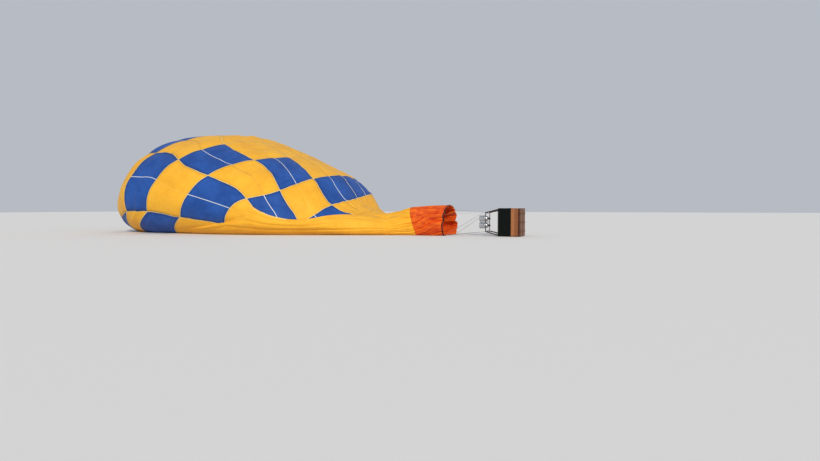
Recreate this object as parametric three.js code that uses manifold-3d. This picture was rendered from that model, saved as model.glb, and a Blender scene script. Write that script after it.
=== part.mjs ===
// Hot air balloon lying on its side while the envelope is filled with cold air.
// Millimetres. +X runs from the crown to the basket, +Y away from the viewer, +Z up.
// Lengths of the bag are counted from the mouth plane back to the crown.
import * as THREE from 'three';
import { mergeVertices } from 'three/addons/utils/BufferGeometryUtils.js';
import Module from 'manifold-3d';

const wasm = await Module();
wasm.setup();
const { Manifold, Mesh: SolidMesh } = wasm;

// Driving dimensions
const placeX = 9117.3;           // mouth centre in the object's frame
const placeY = -1603.4;
const clothThickness = 10;
const seamGap = 0.3;
const checkRaise = 8;           // gap between the blue checks and the cloth that backs them
const stripHalfWidth = 20;
const goreCount = 36;
const spineBend = 8;            // degrees that the bag's axis turns away from the viewer
const bendFrom = 3000;
const bendTo = 8000;
const waistHeight = 0.36;       // height of the widest line as a share of the bag's height

const basketLongSide = 1500;    // stands upright, because the basket lies on a short side
const basketShortSide = 1240;
const basketDepth = 1150;
const basketRimX = 3000;        // rim of the basket, counted from the mouth plane
const wallThickness = 42;
const frameX = 2200;            // plane of the burner frame
const frameTube = 40;
const frameLong = 1120;
const frameShort = 900;
const axisHeight = basketLongSide / 2 + 20;
const cylinderRadius = 150;
const cylinderLength = 620;

// Sections of the bag: distance from the mouth, half width, height
const bagSections = [
  { at: 0, half: 1300, high: 1700 },
  { at: 2000, half: 1500, high: 1600 },
  { at: 4000, half: 2100, high: 1180 },
  { at: 5500, half: 2850, high: 1560 },
  { at: 7500, half: 4250, high: 3500 },
  { at: 10000, half: 5850, high: 4600 },
  { at: 12500, half: 6900, high: 5600 },
  { at: 15000, half: 7400, high: 6400 },
  { at: 17500, half: 7700, high: 6500 },
  { at: 19500, half: 6900, high: 5000 },
  { at: 21300, half: 5300, high: 3900 },
  { at: 22200, half: 2700, high: 3800 },
];

// Cross seams: row of cloth, distance at the ridge, extra distance at the foot, sweep towards
// the crown where the cloth tucks under, share of the extra distance that the slack cloth keeps
const crossSeams = [
  { row: 0, ridge: 22200, foot: 0, tuck: 0, keep: 3 },
  { row: 0.5, ridge: 18900, foot: 1400, tuck: 300, keep: 3 },
  { row: 1, ridge: 16100, foot: 2300, tuck: 2300, keep: 3 },
  { row: 2, ridge: 13000, foot: 4000, tuck: 2300, keep: 3 },
  { row: 3, ridge: 10300, foot: 4600, tuck: 800, keep: 2 },
  { row: 4, ridge: 7550, foot: 5450, tuck: 0, keep: 0.8 },
  { row: 5, ridge: 6100, foot: 7200, tuck: 0, keep: 0.45 },
  { row: 6, ridge: 4900, foot: 5500, tuck: 0, keep: 0.35 },
  { row: 7, ridge: 2300, foot: 600, tuck: 0, keep: 1 },
  { row: 8, ridge: 0, foot: 0, tuck: 0, keep: 1 },
];

// Gores that reach the near foot and the ridge at a distance from the mouth
const goreSpread = [
  { at: 0, foot: 5, ridge: 8.8 },
  { at: 6200, foot: 5, ridge: 8.8 },
  { at: 7500, foot: 3.6, ridge: 8.65 },
  { at: 10500, foot: 0.3, ridge: 7.9 },
  { at: 13500, foot: 0, ridge: 7.25 },
  { at: 16000, foot: 0, ridge: 5.9 },
  { at: 22200, foot: 0, ridge: 5.9 },
];

// Slack roll of cloth along the foot: distance from the mouth, height of its fold along
// the cloth, how far it stands out
const slackRoll = [
  { at: 0, fold: 300, out: 0 },
  { at: 2200, fold: 600, out: 0 },
  { at: 3600, fold: 750, out: 110 },
  { at: 6000, fold: 1250, out: 270 },
  { at: 8500, fold: 1300, out: 300 },
  { at: 11000, fold: 750, out: 210 },
  { at: 13500, fold: 400, out: 90 },
  { at: 15500, fold: 300, out: 0 },
  { at: 22200, fold: 300, out: 0 },
];

// Materials
const paint = (color, roughness, metalness = 0) =>
  new THREE.MeshStandardMaterial({ color, roughness, metalness });
const yellowCloth = () => paint(0xf6ae2c, 0.6);
const blueCloth = () => paint(0x1f52a8, 0.6);
const orangeCloth = () => paint(0xe8551f, 0.65);
const darkWebbing = () => paint(0x2a2224, 0.8);
const steel = () => paint(0xb9bcc0, 0.35, 1);
const wire = () => paint(0x6d6f73, 0.45, 0.9);
const darkPaint = () => paint(0x23262a, 0.5, 0.3);
const wicker = () => paint(0x8a5230, 0.85);
const tanLeather = () => paint(0xb98a58, 0.7);
const darkLeather = () => paint(0x1f2a22, 0.75);
const wood = () => paint(0xa9794a, 0.7);
const aluminium = () => paint(0xc9ccd0, 0.3, 1);
const coverGreen = () => paint(0x1d2b25, 0.85);

const balloon = new THREE.Group();
balloon.name = 'hot_air_balloon';

// Smooth curve through two named columns of a table, without overshoot
function curveThrough(table, from, to) {
  const x = table.map((row) => row[from]);
  const y = table.map((row) => row[to]);
  const n = x.length;
  const rising = x[n - 1] > x[0] ? 1 : -1;
  const step = x.slice(1).map((v, i) => v - x[i]);
  const rise = y.slice(1).map((v, i) => (v - y[i]) / step[i]);
  const slope = y.map((_, i) => {
    if (i === 0) return rise[0];
    if (i === n - 1) return rise[n - 2];
    if (rise[i - 1] * rise[i] <= 0) return 0;
    const a = 2 * step[i] + step[i - 1];
    const b = step[i] + 2 * step[i - 1];
    return (a + b) / (a / rise[i - 1] + b / rise[i]);
  });
  return (value) => {
    let i = 0;
    while (i < n - 2 && (value - x[i + 1]) * rising > 0) i += 1;
    const h = step[i];
    const t = Math.min(Math.max((value - x[i]) / h, 0), 1);
    const t2 = t * t;
    const t3 = t2 * t;
    return y[i] * (2 * t3 - 3 * t2 + 1) + slope[i] * h * (t3 - 2 * t2 + t)
      + y[i + 1] * (3 * t2 - 2 * t3) + slope[i + 1] * h * (t3 - t2);
  };
}

const halfWidth = curveThrough(bagSections, 'at', 'half');
const bagHeight = curveThrough(bagSections, 'at', 'high');
const seamRidge = curveThrough(crossSeams, 'row', 'ridge');
const seamFoot = curveThrough(crossSeams, 'row', 'foot');
const seamTuck = curveThrough(crossSeams, 'row', 'tuck');
const footGore = curveThrough(goreSpread, 'at', 'foot');
const ridgeGore = curveThrough(goreSpread, 'at', 'ridge');
const seamKeep = curveThrough(crossSeams, 'row', 'keep');
const rollFold = curveThrough(slackRoll, 'at', 'fold');
const rollOut = curveThrough(slackRoll, 'at', 'out');

const spineStep = 50;
const spinePoints = [{ x: 0, y: 0, turn: 0 }];
while (spinePoints.length * spineStep < 24000) {
  const last = spinePoints[spinePoints.length - 1];
  const share = Math.min(Math.max((spinePoints.length * spineStep - bendFrom) / (bendTo - bendFrom), 0), 1);
  const turn = THREE.MathUtils.degToRad(spineBend) * share * share * (3 - 2 * share);
  spinePoints.push({
    x: last.x - spineStep * Math.cos((last.turn + turn) / 2),
    y: last.y + spineStep * Math.sin((last.turn + turn) / 2),
    turn,
  });
}

function spineAt(along) {
  const k = Math.min(Math.max(along / spineStep, 0), spinePoints.length - 2);
  const i = Math.floor(k);
  const f = k - i;
  const a = spinePoints[i];
  const b = spinePoints[i + 1];
  return { x: a.x + f * (b.x - a.x), y: a.y + f * (b.y - a.y), turn: a.turn + f * (b.turn - a.turn) };
}

// One point of a section: angle 0 on the ridge, positive towards the viewer.
// Below its fold the slack roll stands out by a part of a sine wave.
function sectionPoint(along, angle) {
  const half = halfWidth(along);
  const high = bagHeight(along);
  const waist = waistHeight * high;
  const c = Math.cos(angle);
  const s = Math.sin(angle);
  const lift = c >= 0 ? waist + (high - waist) * c : Math.max(waist * (1 + 1.25 * c), 0);
  const fold = Math.min(rollFold(along), 0.9 * high);
  const rise = Math.min(lift / fold, 1);
  const roll = Math.abs(s) > 0.01 ? rollOut(along) * Math.sin(Math.PI * (0.25 + 0.75 * rise)) : 0;
  const side = Math.sign(s) * (half * Math.abs(s) ** (c >= 0 ? 1 : 0.55) + roll);
  const axis = spineAt(along);
  return new THREE.Vector3(
    axis.x - side * Math.sin(axis.turn), axis.y - side * Math.cos(axis.turn), lift);
}

const footAngle = Math.acos(-0.8);
const arcSteps = 48;
function angleAtShare(along, share) {
  const lengths = [0];
  let before = sectionPoint(along, footAngle);
  for (let i = 1; i <= arcSteps; i += 1) {
    const now = sectionPoint(along, footAngle * (1 - i / arcSteps));
    lengths.push(lengths[i - 1] + now.distanceTo(before));
    before = now;
  }
  const target = share * lengths[arcSteps];
  let i = 1;
  while (i < arcSteps && lengths[i] < target) i += 1;
  const f = (target - lengths[i - 1]) / (lengths[i] - lengths[i - 1]);
  return footAngle * (1 - (i - 1 + f) / arcSteps);
}

// Cloth point for a gore line and a row, on the outer face of the bag
function clothPoint(gore, row) {
  const inner = Math.min(Math.max(gore, 0), 16);
  const sweep = (1 - inner / 8) ** 2;
  const fold = sweep / (1 + (sweep / seamKeep(row)) ** 4) ** 0.25;
  const edge = Math.max(0, 1 - Math.min(inner, 16 - inner)) ** 2;
  const along = seamRidge(row) + seamFoot(row) * fold + seamTuck(row) * edge;
  const first = footGore(along);
  const top = ridgeGore(along);
  const last = 2 * top - first;
  const turnGore = gore < first ? gore + goreCount : gore;
  if (turnGore <= top) return sectionPoint(along, angleAtShare(along, (turnGore - first) / (top - first)));
  if (turnGore <= last) return sectionPoint(along, -angleAtShare(along, (last - turnGore) / (top - first)));
  const under = (turnGore - last) / (goreCount + first - last);
  const far = sectionPoint(along, -footAngle);
  const near = sectionPoint(along, footAngle);
  return far.lerp(near, under);
}

function clothNormal(gore, row) {
  const dg = 0.02;
  const dr = 0.01;
  const row0 = Math.max(row - dr, 0);
  const row1 = Math.min(row + dr, 8);
  const a = clothPoint(gore + dg, row).sub(clothPoint(gore - dg, row));
  const b = clothPoint(gore, row1).sub(clothPoint(gore, row0));
  return b.cross(a).normalize();
}

function addPart(name, geometry, material) {
  const mesh = new THREE.Mesh(geometry, material);
  mesh.name = name;
  balloon.add(mesh);
  return mesh;
}

function geometryOf(points, faces) {
  let volume = 0;
  for (const [a, b, c] of faces) {
    volume += points[a].dot(new THREE.Vector3().crossVectors(points[b], points[c]));
  }
  const geometry = new THREE.BufferGeometry();
  geometry.setAttribute('position', new THREE.Float32BufferAttribute(points.flatMap((p) => [p.x, p.y, p.z]), 3));
  geometry.setIndex(faces.flatMap((f) => (volume < 0 ? [f[0], f[2], f[1]] : f)));
  geometry.computeVertexNormals();
  return geometry;
}

// Closed skin between two point grids that share their indices
function skinBetween(outer, inner) {
  const rows = outer.length;
  const cols = outer[0].length;
  const points = [...outer.flat(), ...inner.flat()];
  const back = rows * cols;
  const faces = [];
  const quad = (a, b, c, d) => faces.push([a, b, c], [a, c, d]);
  for (let i = 0; i < rows - 1; i += 1) {
    for (let j = 0; j < cols - 1; j += 1) {
      const a = i * cols + j;
      quad(a, a + 1, a + cols + 1, a + cols);
      quad(back + a, back + a + cols, back + a + cols + 1, back + a + 1);
    }
  }
  for (let i = 0; i < rows - 1; i += 1) {
    const a = i * cols;
    const b = a + cols - 1;
    quad(a, a + cols, back + a + cols, back + a);
    quad(b, back + b, back + b + cols, b + cols);
  }
  for (let j = 0; j < cols - 1; j += 1) {
    const a = j;
    const b = (rows - 1) * cols + j;
    quad(a, back + a, back + a + 1, a + 1);
    quad(b, b + 1, back + b + 1, back + b);
  }
  return geometryOf(points, faces);
}

const place = (point) => point.add(new THREE.Vector3(placeX, placeY, 0));

// Cloth skin over gores and rows given as lists of lines, raised over the bag's face
// and trimmed back along its four edges
function clothSkin(gores, rows, raised, thickness, sideGap, endGap) {
  const layers = [raised, raised - thickness].map((height) => rows.map((row) => gores.map((gore) => {
    const point = clothPoint(gore, row);
    const normal = point.z < 1 ? new THREE.Vector3(0, 0, -1) : clothNormal(gore, row);
    return place(point.addScaledVector(normal, height));
  })));
  const trim = (a, b, gap) => a.lerp(b, gap / a.distanceTo(b));
  for (const grid of layers) {
    for (const line of grid) {
      trim(line[0], line[1], sideGap);
      trim(line[line.length - 1], line[line.length - 2], sideGap);
    }
    for (let j = 0; j < gores.length; j += 1) {
      trim(grid[0][j], grid[1][j], endGap);
      trim(grid[rows.length - 1][j], grid[rows.length - 2][j], endGap);
    }
  }
  return skinBetween(layers[0], layers[1]);
}

const linesBetween = (from, to, count) => Array.from({ length: count + 1 }, (_, i) => from + ((to - from) * i) / count);
const rowLines = [...linesBetween(0, 1, 6), ...linesBetween(1, 6, 15).slice(1)];
const neckRows = [6, 6.33, 6.66, 7, 7.3];

const clothPanels = [
  { name: 'cloth_near_low', rows: rowLines, from: 0, to: 4, count: 8, gap: seamGap },
  { name: 'cloth_near_high', rows: rowLines, from: 4, to: 8, count: 8, gap: seamGap },
  { name: 'cloth_far_high', rows: rowLines, from: 8, to: 12, count: 8, gap: seamGap },
  { name: 'cloth_far_low', rows: rowLines, from: 12, to: 16, count: 8, gap: seamGap },
  { name: 'cloth_under_far', rows: rowLines, from: 16, to: 26, count: 5, gap: 25 },
  { name: 'cloth_under_near', rows: rowLines, from: 26, to: 36, count: 5, gap: 25 },
  { name: 'neck_near', rows: neckRows, from: 0, to: 8, count: 16, gap: seamGap },
  { name: 'neck_far', rows: neckRows, from: 8, to: 16, count: 16, gap: seamGap },
  { name: 'neck_under', rows: neckRows, from: 16, to: 36, count: 10, gap: seamGap },
];
for (const panel of clothPanels) {
  const gores = linesBetween(panel.from, panel.to, panel.count);
  addPart(panel.name, clothSkin(gores, panel.rows, 0, clothThickness, panel.gap, seamGap), yellowCloth());
}

const skirtRows = [7.3, 7.65, 8];
const skirtPanels = [
  { name: 'skirt_near', from: 0, to: 7, count: 14 },
  { name: 'skirt_far', from: 7, to: 16, count: 18 },
  { name: 'skirt_under', from: 16, to: 36, count: 10 },
];
for (const panel of skirtPanels) {
  const gores = linesBetween(panel.from, panel.to, panel.count);
  addPart(panel.name, clothSkin(gores, skirtRows, 0, clothThickness, seamGap, seamGap), orangeCloth());
}

function toSolid(geometry) {
  const bare = geometry.clone();
  bare.deleteAttribute('normal');
  bare.deleteAttribute('uv');
  const welded = mergeVertices(bare, 1e-3);
  return new Manifold(new SolidMesh({
    numProp: 3,
    vertProperties: Float32Array.from(welded.attributes.position.array),
    triVerts: Uint32Array.from(welded.index.array),
  }));
}

function toGeometry(solid) {
  const mesh = solid.getMesh();
  const geometry = new THREE.BufferGeometry();
  geometry.setAttribute('position', new THREE.BufferAttribute(Float32Array.from(mesh.vertProperties), 3));
  geometry.setIndex([...mesh.triVerts]);
  geometry.computeVertexNormals();
  return geometry;
}

const largest = (solid) => solid.decompose().reduce((a, b) => (a.volume() > b.volume() ? a : b));
const unite = (list) => list.slice(1).reduce((sum, g) => sum.add(toSolid(g)), toSolid(list[0]));

function boxAt(x0, x1, y0, y1, z0, z1) {
  const box = new THREE.BoxGeometry(x1 - x0, y1 - y0, z1 - z0);
  return box.translate((x0 + x1) / 2 + placeX, (y0 + y1) / 2 + placeY, (z0 + z1) / 2);
}

function rodBetween(from, to, radius, sides = 10) {
  const a = new THREE.Vector3(...from);
  const b = new THREE.Vector3(...to);
  const rod = new THREE.CylinderGeometry(radius, radius, a.distanceTo(b), sides);
  rod.applyQuaternion(new THREE.Quaternion().setFromUnitVectors(new THREE.Vector3(0, 1, 0), b.clone().sub(a).normalize()));
  rod.translate((a.x + b.x) / 2 + placeX, (a.y + b.y) / 2 + placeY, (a.z + b.z) / 2);
  return rod;
}

// Turned shape around an axis along X, profile as [distance, radius]
function turnedAlongX(profile, x, y, z, sides) {
  const area = profile.slice(1).reduce((sum, [h, r], i) => sum + (h - profile[i][0]) * (r + profile[i][1]), 0);
  const run = area > 0 ? profile : [...profile].reverse();
  const lathe = new THREE.LatheGeometry(run.map(([h, r]) => new THREE.Vector2(r, h)), sides);
  lathe.rotateZ(-Math.PI / 2);
  return lathe.translate(x + placeX, y + placeY, z);
}

// Blue checks, two gores wide and one row long.
// Each ring joins the checks of two rows. First and next are the gores near the viewer's side
// of the ground where its first and its second row start, last is the gore where both end.
const checkRings = [
  { name: 'blue_checks_crown', row: 0, first: 1, next: 1, last: 9 },
  { name: 'blue_checks_middle', row: 2, first: 0.5, next: 0.5, last: 7 },
  { name: 'blue_checks_lower', row: 4, first: 3, next: 6, last: 12 },
  { name: 'blue_checks_far', row: 3, first: 13, next: 13, last: 14.5 },
];
// Rows whose checks give way between two gores: the bare field high on the bag has no checks,
// and one row below it is blue right across
const fieldRows = [
  { row: 1, from: 5, to: 15, blue: false },
  { row: 2, from: 7, to: 13, blue: false },
  { row: 3, from: 7, to: 13, blue: false },
  { row: 4, from: 7, to: 13, blue: true },
  { row: 5, from: 7, to: 13, blue: false },
];

function checksOf(ring) {
  const checks = [];
  for (const row of [ring.row, ring.row + 1]) {
    for (let column = -1; column < 7; column += 1) {
      const from = Math.max(1 + 2 * column, row === ring.row ? ring.first : ring.next);
      const to = Math.min(3 + 2 * column, ring.last);
      const rows = rowLines.filter((r) => r > row - 1e-6 && r < row + 1 + 1e-6);
      const field = fieldRows.find((f) => f.row === row && from >= f.from && to <= f.to);
      const blue = field ? field.blue : (row + column) % 2 !== 0;
      if (blue && to - from > 0.4) checks.push({ from, to, rows });
    }
  }
  return checks;
}

function checkSolid({ from, to, rows }) {
  const lines = linesBetween(from, to, Math.ceil((to - from) * 2 - 1e-6));
  return clothSkin(lines, rows, clothThickness + checkRaise, clothThickness, 1, 3);
}

// Narrow strip on the seam between two rows, which joins their checks corner to corner
function seamStrip(first, last, row) {
  const gores = linesBetween(first, last, Math.round((last - first) * 2));
  const at = rowLines.findIndex((r) => Math.abs(r - row) < 1e-6);
  const layers = [checkRaise + clothThickness - 1, checkRaise + 1].map((height) => {
    const raisedAt = (gore, r) => {
      const point = clothPoint(gore, r);
      const normal = point.z < 1 ? new THREE.Vector3(0, 0, -1) : clothNormal(gore, r);
      return place(point.addScaledVector(normal, height));
    };
    const middle = gores.map((gore) => raisedAt(gore, row));
    return [at - 1, at, at + 1].map((k, side) => gores.map((gore, j) => {
      if (side === 1) return middle[j].clone();
      const next = raisedAt(gore, rowLines[k]);
      return middle[j].clone().lerp(next, stripHalfWidth / middle[j].distanceTo(next));
    }));
  });
  return skinBetween(layers[0], layers[1]);
}

for (const ring of checkRings) {
  const solids = checksOf(ring).map(checkSolid);
  solids.push(seamStrip(ring.first + 0.5, ring.last - 0.5, ring.row + 1));
  addPart(ring.name, toGeometry(largest(unite(solids))), blueCloth());
}

const crownCentre = spineAt(22200);
const crownTurn = crownCentre.turn;

// Thin round panel across the bag, its middle blown out by the bulge
function discAcross(along, radiusY, radiusZ, thickness, bulge, z) {
  const axis = spineAt(along);
  const rings = 4;
  const sides = 24;
  const points = [];
  const faces = [];
  const local = (depth, r, a) => {
    const side = radiusY * r * Math.sin(a);
    return place(new THREE.Vector3(
      axis.x + depth * Math.cos(crownTurn) - side * Math.sin(crownTurn),
      axis.y - depth * Math.sin(crownTurn) - side * Math.cos(crownTurn),
      z + radiusZ * r * Math.cos(a)));
  };
  for (const face of [0, 1]) {
    points.push(local(face * thickness - bulge, 0, 0));
    for (let i = 1; i <= rings; i += 1) {
      const r = i / rings;
      for (let j = 0; j < sides; j += 1) points.push(local(face * thickness - bulge * (1 - r * r), r, (2 * Math.PI * j) / sides));
    }
  }
  const back = 1 + rings * sides;
  for (const face of [0, 1]) {
    const o = face * back;
    const add = (a, b, c) => faces.push(face ? [a, c, b] : [a, b, c]);
    for (let j = 0; j < sides; j += 1) {
      const k = (j + 1) % sides;
      add(o, o + 1 + j, o + 1 + k);
      for (let i = 0; i < rings - 1; i += 1) {
        const a = o + 1 + i * sides;
        const b = a + sides;
        add(a + j, b + j, b + k);
        add(a + j, b + k, a + k);
      }
    }
  }
  const rim = 1 + (rings - 1) * sides;
  for (let j = 0; j < sides; j += 1) {
    const k = (j + 1) % sides;
    faces.push([rim + j, back + rim + j, back + rim + k], [rim + j, back + rim + k, rim + k]);
  }
  return geometryOf(points, faces);
}

addPart('vent_panel', discAcross(21750, 2500, 1820, clothThickness, 120, 1880), yellowCloth());

const crownRing = [];
const tapeCount = 12;
const hubZ = 1900;
for (let i = 0; i < tapeCount; i += 1) {
  const gore = (i * goreCount) / tapeCount;
  const edge = clothPoint(gore, 0);
  const outX = -Math.cos(crownTurn) * 14;
  const outY = Math.sin(crownTurn) * 14;
  crownRing.push(rodBetween([crownCentre.x + outX, crownCentre.y + outY, hubZ],
    [edge.x + outX, edge.y + outY, Math.max(edge.z, 9)], 8, 6));
}
const hub = new THREE.CylinderGeometry(240, 240, 24, 24);
hub.rotateZ(Math.PI / 2);
hub.rotateZ(-crownTurn);
hub.translate(crownCentre.x - 14 * Math.cos(crownTurn) + placeX, crownCentre.y + 14 * Math.sin(crownTurn) + placeY, hubZ);
crownRing.push(hub);
addPart('crown_tapes', toGeometry(unite(crownRing)), darkWebbing());

// Basket, lying on a short side with its open end towards the mouth
const yIn = basketShortSide / 2;
const zLow = axisHeight - basketLongSide / 2;
const zTop = axisHeight + basketLongSide / 2;
const floorX = basketRimX + basketDepth;
const cut = seamGap;

addPart('basket_wall_near', boxAt(basketRimX, floorX - 30, -yIn, -yIn + wallThickness, zLow, zTop), wicker());
addPart('basket_wall_far', boxAt(basketRimX, floorX - 30, yIn - wallThickness, yIn, zLow, zTop), wicker());
addPart('basket_wall_lower', boxAt(basketRimX, floorX - 30, -yIn + wallThickness + cut, yIn - wallThickness - cut,
  zLow, zLow + wallThickness), wicker());
addPart('basket_wall_upper', boxAt(basketRimX, floorX - 30, -yIn + wallThickness + cut, yIn - wallThickness - cut,
  zTop - wallThickness, zTop), wicker());
addPart('basket_floor', boxAt(floorX - 30 + cut, floorX, -yIn, yIn, zLow, zTop), wood());

// Padded rim: a rounded bar that runs round the basket's open end
function loopAcross(x, halfY, halfZ, corner, sectionX, sectionR, z, innerCorner = corner - sectionR) {
  const outer = new THREE.Shape();
  const round = (shape, a, b, r) => {
    shape.moveTo(-a + r, -b);
    shape.lineTo(a - r, -b);
    shape.absarc(a - r, -b + r, r, -Math.PI / 2, 0, false);
    shape.lineTo(a, b - r);
    shape.absarc(a - r, b - r, r, 0, Math.PI / 2, false);
    shape.lineTo(-a + r, b);
    shape.absarc(-a + r, b - r, r, Math.PI / 2, Math.PI, false);
    shape.lineTo(-a, -b + r);
    shape.absarc(-a + r, -b + r, r, Math.PI, Math.PI * 1.5, false);
    return shape;
  };
  round(outer, halfY, halfZ, corner);
  const hole = new THREE.Path();
  round(hole, halfY - sectionR, halfZ - sectionR, Math.max(innerCorner, 0.2));
  outer.holes.push(hole);
  const loop = new THREE.ExtrudeGeometry(outer, { depth: sectionX, bevelEnabled: false, curveSegments: 3 });
  loop.rotateX(Math.PI / 2);
  loop.rotateZ(Math.PI / 2);
  loop.translate(x + placeX, placeY, z);
  return loop;
}

addPart('basket_rim', loopAcross(basketRimX - 70 - cut, yIn + 14, basketLongSide / 2 + 14, 60, 70, 70, axisHeight), darkLeather());
addPart('leather_band', loopAcross(basketRimX + 660, yIn + 4.3, basketLongSide / 2 + 4.3, 6, 170, 4, axisHeight, 0.2), tanLeather());
addPart('leather_foot', loopAcross(floorX - 110, yIn + 6.3, basketLongSide / 2 + 6.3, 8, 110, 6, axisHeight, 0.2), tanLeather());
addPart('rim_cover', loopAcross(basketRimX + 5, yIn + 5.3, basketLongSide / 2 + 5.3, 8, 650, 5, axisHeight, 0.2), coverGreen());

for (const [i, z] of [-480, 0, 480].entries()) {
  addPart(`skid_${i + 1}`, boxAt(floorX + cut, floorX + 34, -yIn + 40, yIn - 40, axisHeight + z - 35, axisHeight + z + 35), wood());
}

const cylinderPlaces = [
  { name: 'fuel_cylinder_1', y: -1, z: -1 },
  { name: 'fuel_cylinder_2', y: 1, z: -1 },
  { name: 'fuel_cylinder_3', y: -1, z: 1 },
  { name: 'fuel_cylinder_4', y: 1, z: 1 },
];
for (const spot of cylinderPlaces) {
  const inset = wallThickness + 6 + cylinderRadius;
  const end = floorX - 30 - 6;
  const r = cylinderRadius;
  const profile = [[0, 0], [0, r * 0.8], [-20, r * 0.84], [-50, r], [-(cylinderLength - 60), r],
    [-(cylinderLength - 22), r * 0.86], [-cylinderLength, r * 0.45], [-cylinderLength - 30, r * 0.4],
    [-cylinderLength - 30, 24], [-cylinderLength - 70, 22], [-cylinderLength - 70, 0]];
  addPart(spot.name, turnedAlongX(profile, end, spot.y * (yIn - inset), axisHeight + spot.z * (basketLongSide / 2 - inset), 16), aluminium());
}

// Burner frame, uprights and gimbal
const halfLong = frameLong / 2;
const halfShort = frameShort / 2;
const pinRadius = 12;
const pinSides = 16;
const boreRadius = (pinRadius + 0.06) / Math.cos(Math.PI / pinSides);
const tube = frameTube / 2;

const frameBars = loopAcross(frameX - tube, halfShort, halfLong, 70, frameTube, frameTube, axisHeight);
const frameBores = [-1, 1].map((s) => rodBetween([frameX, 0, axisHeight + s * (halfLong - 60)],
  [frameX, 0, axisHeight + s * (halfLong + 10)], boreRadius, pinSides));
let frameSolid = toSolid(frameBars);
for (const bore of frameBores) frameSolid = frameSolid.subtract(toSolid(bore));
addPart('burner_frame', toGeometry(frameSolid), darkPaint());

const ringLong = halfLong - frameTube - 25;
const ringShort = halfShort - frameTube - 25;
const ringTube = 30;
const ringBars = loopAcross(frameX - ringTube / 2, ringShort, ringLong, 50, ringTube, ringTube, axisHeight);
const ringPins = [-1, 1].map((s) => rodBetween([frameX, 0, axisHeight + s * (ringLong - 10)],
  [frameX, 0, axisHeight + s * (halfLong - 6)], pinRadius, pinSides));
const ringBores = [-1, 1].map((s) => rodBetween([frameX, s * (ringShort - 50), axisHeight],
  [frameX, s * (ringShort + 10), axisHeight], boreRadius, pinSides));
let ringSolid = unite([ringBars, ...ringPins]);
for (const bore of ringBores) ringSolid = ringSolid.subtract(toSolid(bore));
addPart('gimbal_ring', toGeometry(ringSolid), steel());

const uprightFeet = [
  { name: 'upright_near_low', y: -1, z: -1 },
  { name: 'upright_near_high', y: -1, z: 1 },
  { name: 'upright_far_low', y: 1, z: -1 },
  { name: 'upright_far_high', y: 1, z: 1 },
];
for (const foot of uprightFeet) {
  const bottom = [basketRimX - 84, foot.y * (yIn - 55), axisHeight + foot.z * (basketLongSide / 2 - 55)];
  const top = [frameX + tube + 14, foot.y * (halfShort - 32), axisHeight + foot.z * (halfLong - 32)];
  addPart(foot.name, rodBetween(bottom, top, 32, 12), darkLeather());
}

// Burners on the gimbal
const blockBar = boxAt(frameX - 12, frameX + 12, -70, 70, axisHeight - 330, axisHeight + 330);
const crossBar = boxAt(frameX - 12, frameX + 12, -(ringShort - 45), ringShort - 45, axisHeight - 22, axisHeight + 22);
const blockPins = [-1, 1].map((s) => rodBetween([frameX, s * (ringShort - 60), axisHeight],
  [frameX, s * (ringShort - 6), axisHeight], pinRadius, pinSides));
addPart('burner_bar', toGeometry(unite([blockBar, crossBar, ...blockPins])), steel());

for (const [i, side] of [-1, 1].entries()) {
  const canProfile = [[0, 0], [0, 120], [-60, 150], [-90, 172], [-420, 172], [-420, 164], [-96, 164], [-66, 142], [-20, 112], [-20, 0]];
  addPart(`burner_can_${i + 1}`, turnedAlongX(canProfile, frameX - 12 - cut, 0, axisHeight + side * 190, 24), steel());
  const valveProfile = [[0, 0], [0, 60], [90, 60], [110, 40], [150, 40], [150, 0]];
  addPart(`burner_valve_${i + 1}`, turnedAlongX(valveProfile, frameX + 12 + cut, 0, axisHeight + side * 190, 16), darkPaint());
}

// Flying wires, four groups of three, from the mouth to the frame's corners
const wireGroups = [
  { name: 'wires_near_low', y: -1, z: -1, gores: [0, 33, 30] },
  { name: 'wires_near_high', y: -1, z: 1, gores: [2, 4.5, 7] },
  { name: 'wires_far_high', y: 1, z: 1, gores: [10, 12.5, 15] },
  { name: 'wires_far_low', y: 1, z: -1, gores: [18, 21, 24] },
];
for (const group of wireGroups) {
  const hook = [frameX - tube - 60, group.y * (halfShort - 20), axisHeight + group.z * (halfLong - 20)];
  const rods = group.gores.map((gore) => {
    const point = clothPoint(gore, 8);
    return rodBetween([point.x + 8, point.y, Math.max(point.z, 14)], hook, 5, 5);
  });
  const knot = new THREE.SphereGeometry(22, 8, 5);
  knot.translate(hook[0] + placeX, hook[1] + placeY, hook[2]);
  rods.push(knot);
  addPart(group.name, toGeometry(unite(rods)), wire());
}

export default balloon;
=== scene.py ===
from math import cos, pi, radians, sin

import bpy
import numpy as np
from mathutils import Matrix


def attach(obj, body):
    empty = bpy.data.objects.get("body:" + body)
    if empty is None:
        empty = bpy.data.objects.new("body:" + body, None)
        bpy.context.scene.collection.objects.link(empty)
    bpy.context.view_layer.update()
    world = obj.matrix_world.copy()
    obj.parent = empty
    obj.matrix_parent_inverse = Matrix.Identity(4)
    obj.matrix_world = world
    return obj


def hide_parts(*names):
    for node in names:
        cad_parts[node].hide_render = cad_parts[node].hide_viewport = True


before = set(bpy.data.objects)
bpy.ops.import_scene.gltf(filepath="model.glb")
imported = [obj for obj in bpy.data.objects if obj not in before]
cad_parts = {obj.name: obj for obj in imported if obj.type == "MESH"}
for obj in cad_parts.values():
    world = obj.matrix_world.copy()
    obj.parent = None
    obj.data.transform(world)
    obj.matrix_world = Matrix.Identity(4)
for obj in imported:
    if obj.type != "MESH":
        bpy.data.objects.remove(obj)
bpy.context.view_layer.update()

mouthAt = np.array([9.1173, -1.6034, 0.0])   # centre of the envelope's mouth on the ground
offGround = 0.009                            # lowest height of the cloth's outer face
xAxis, yAxis, zAxis = np.eye(3)

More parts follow.
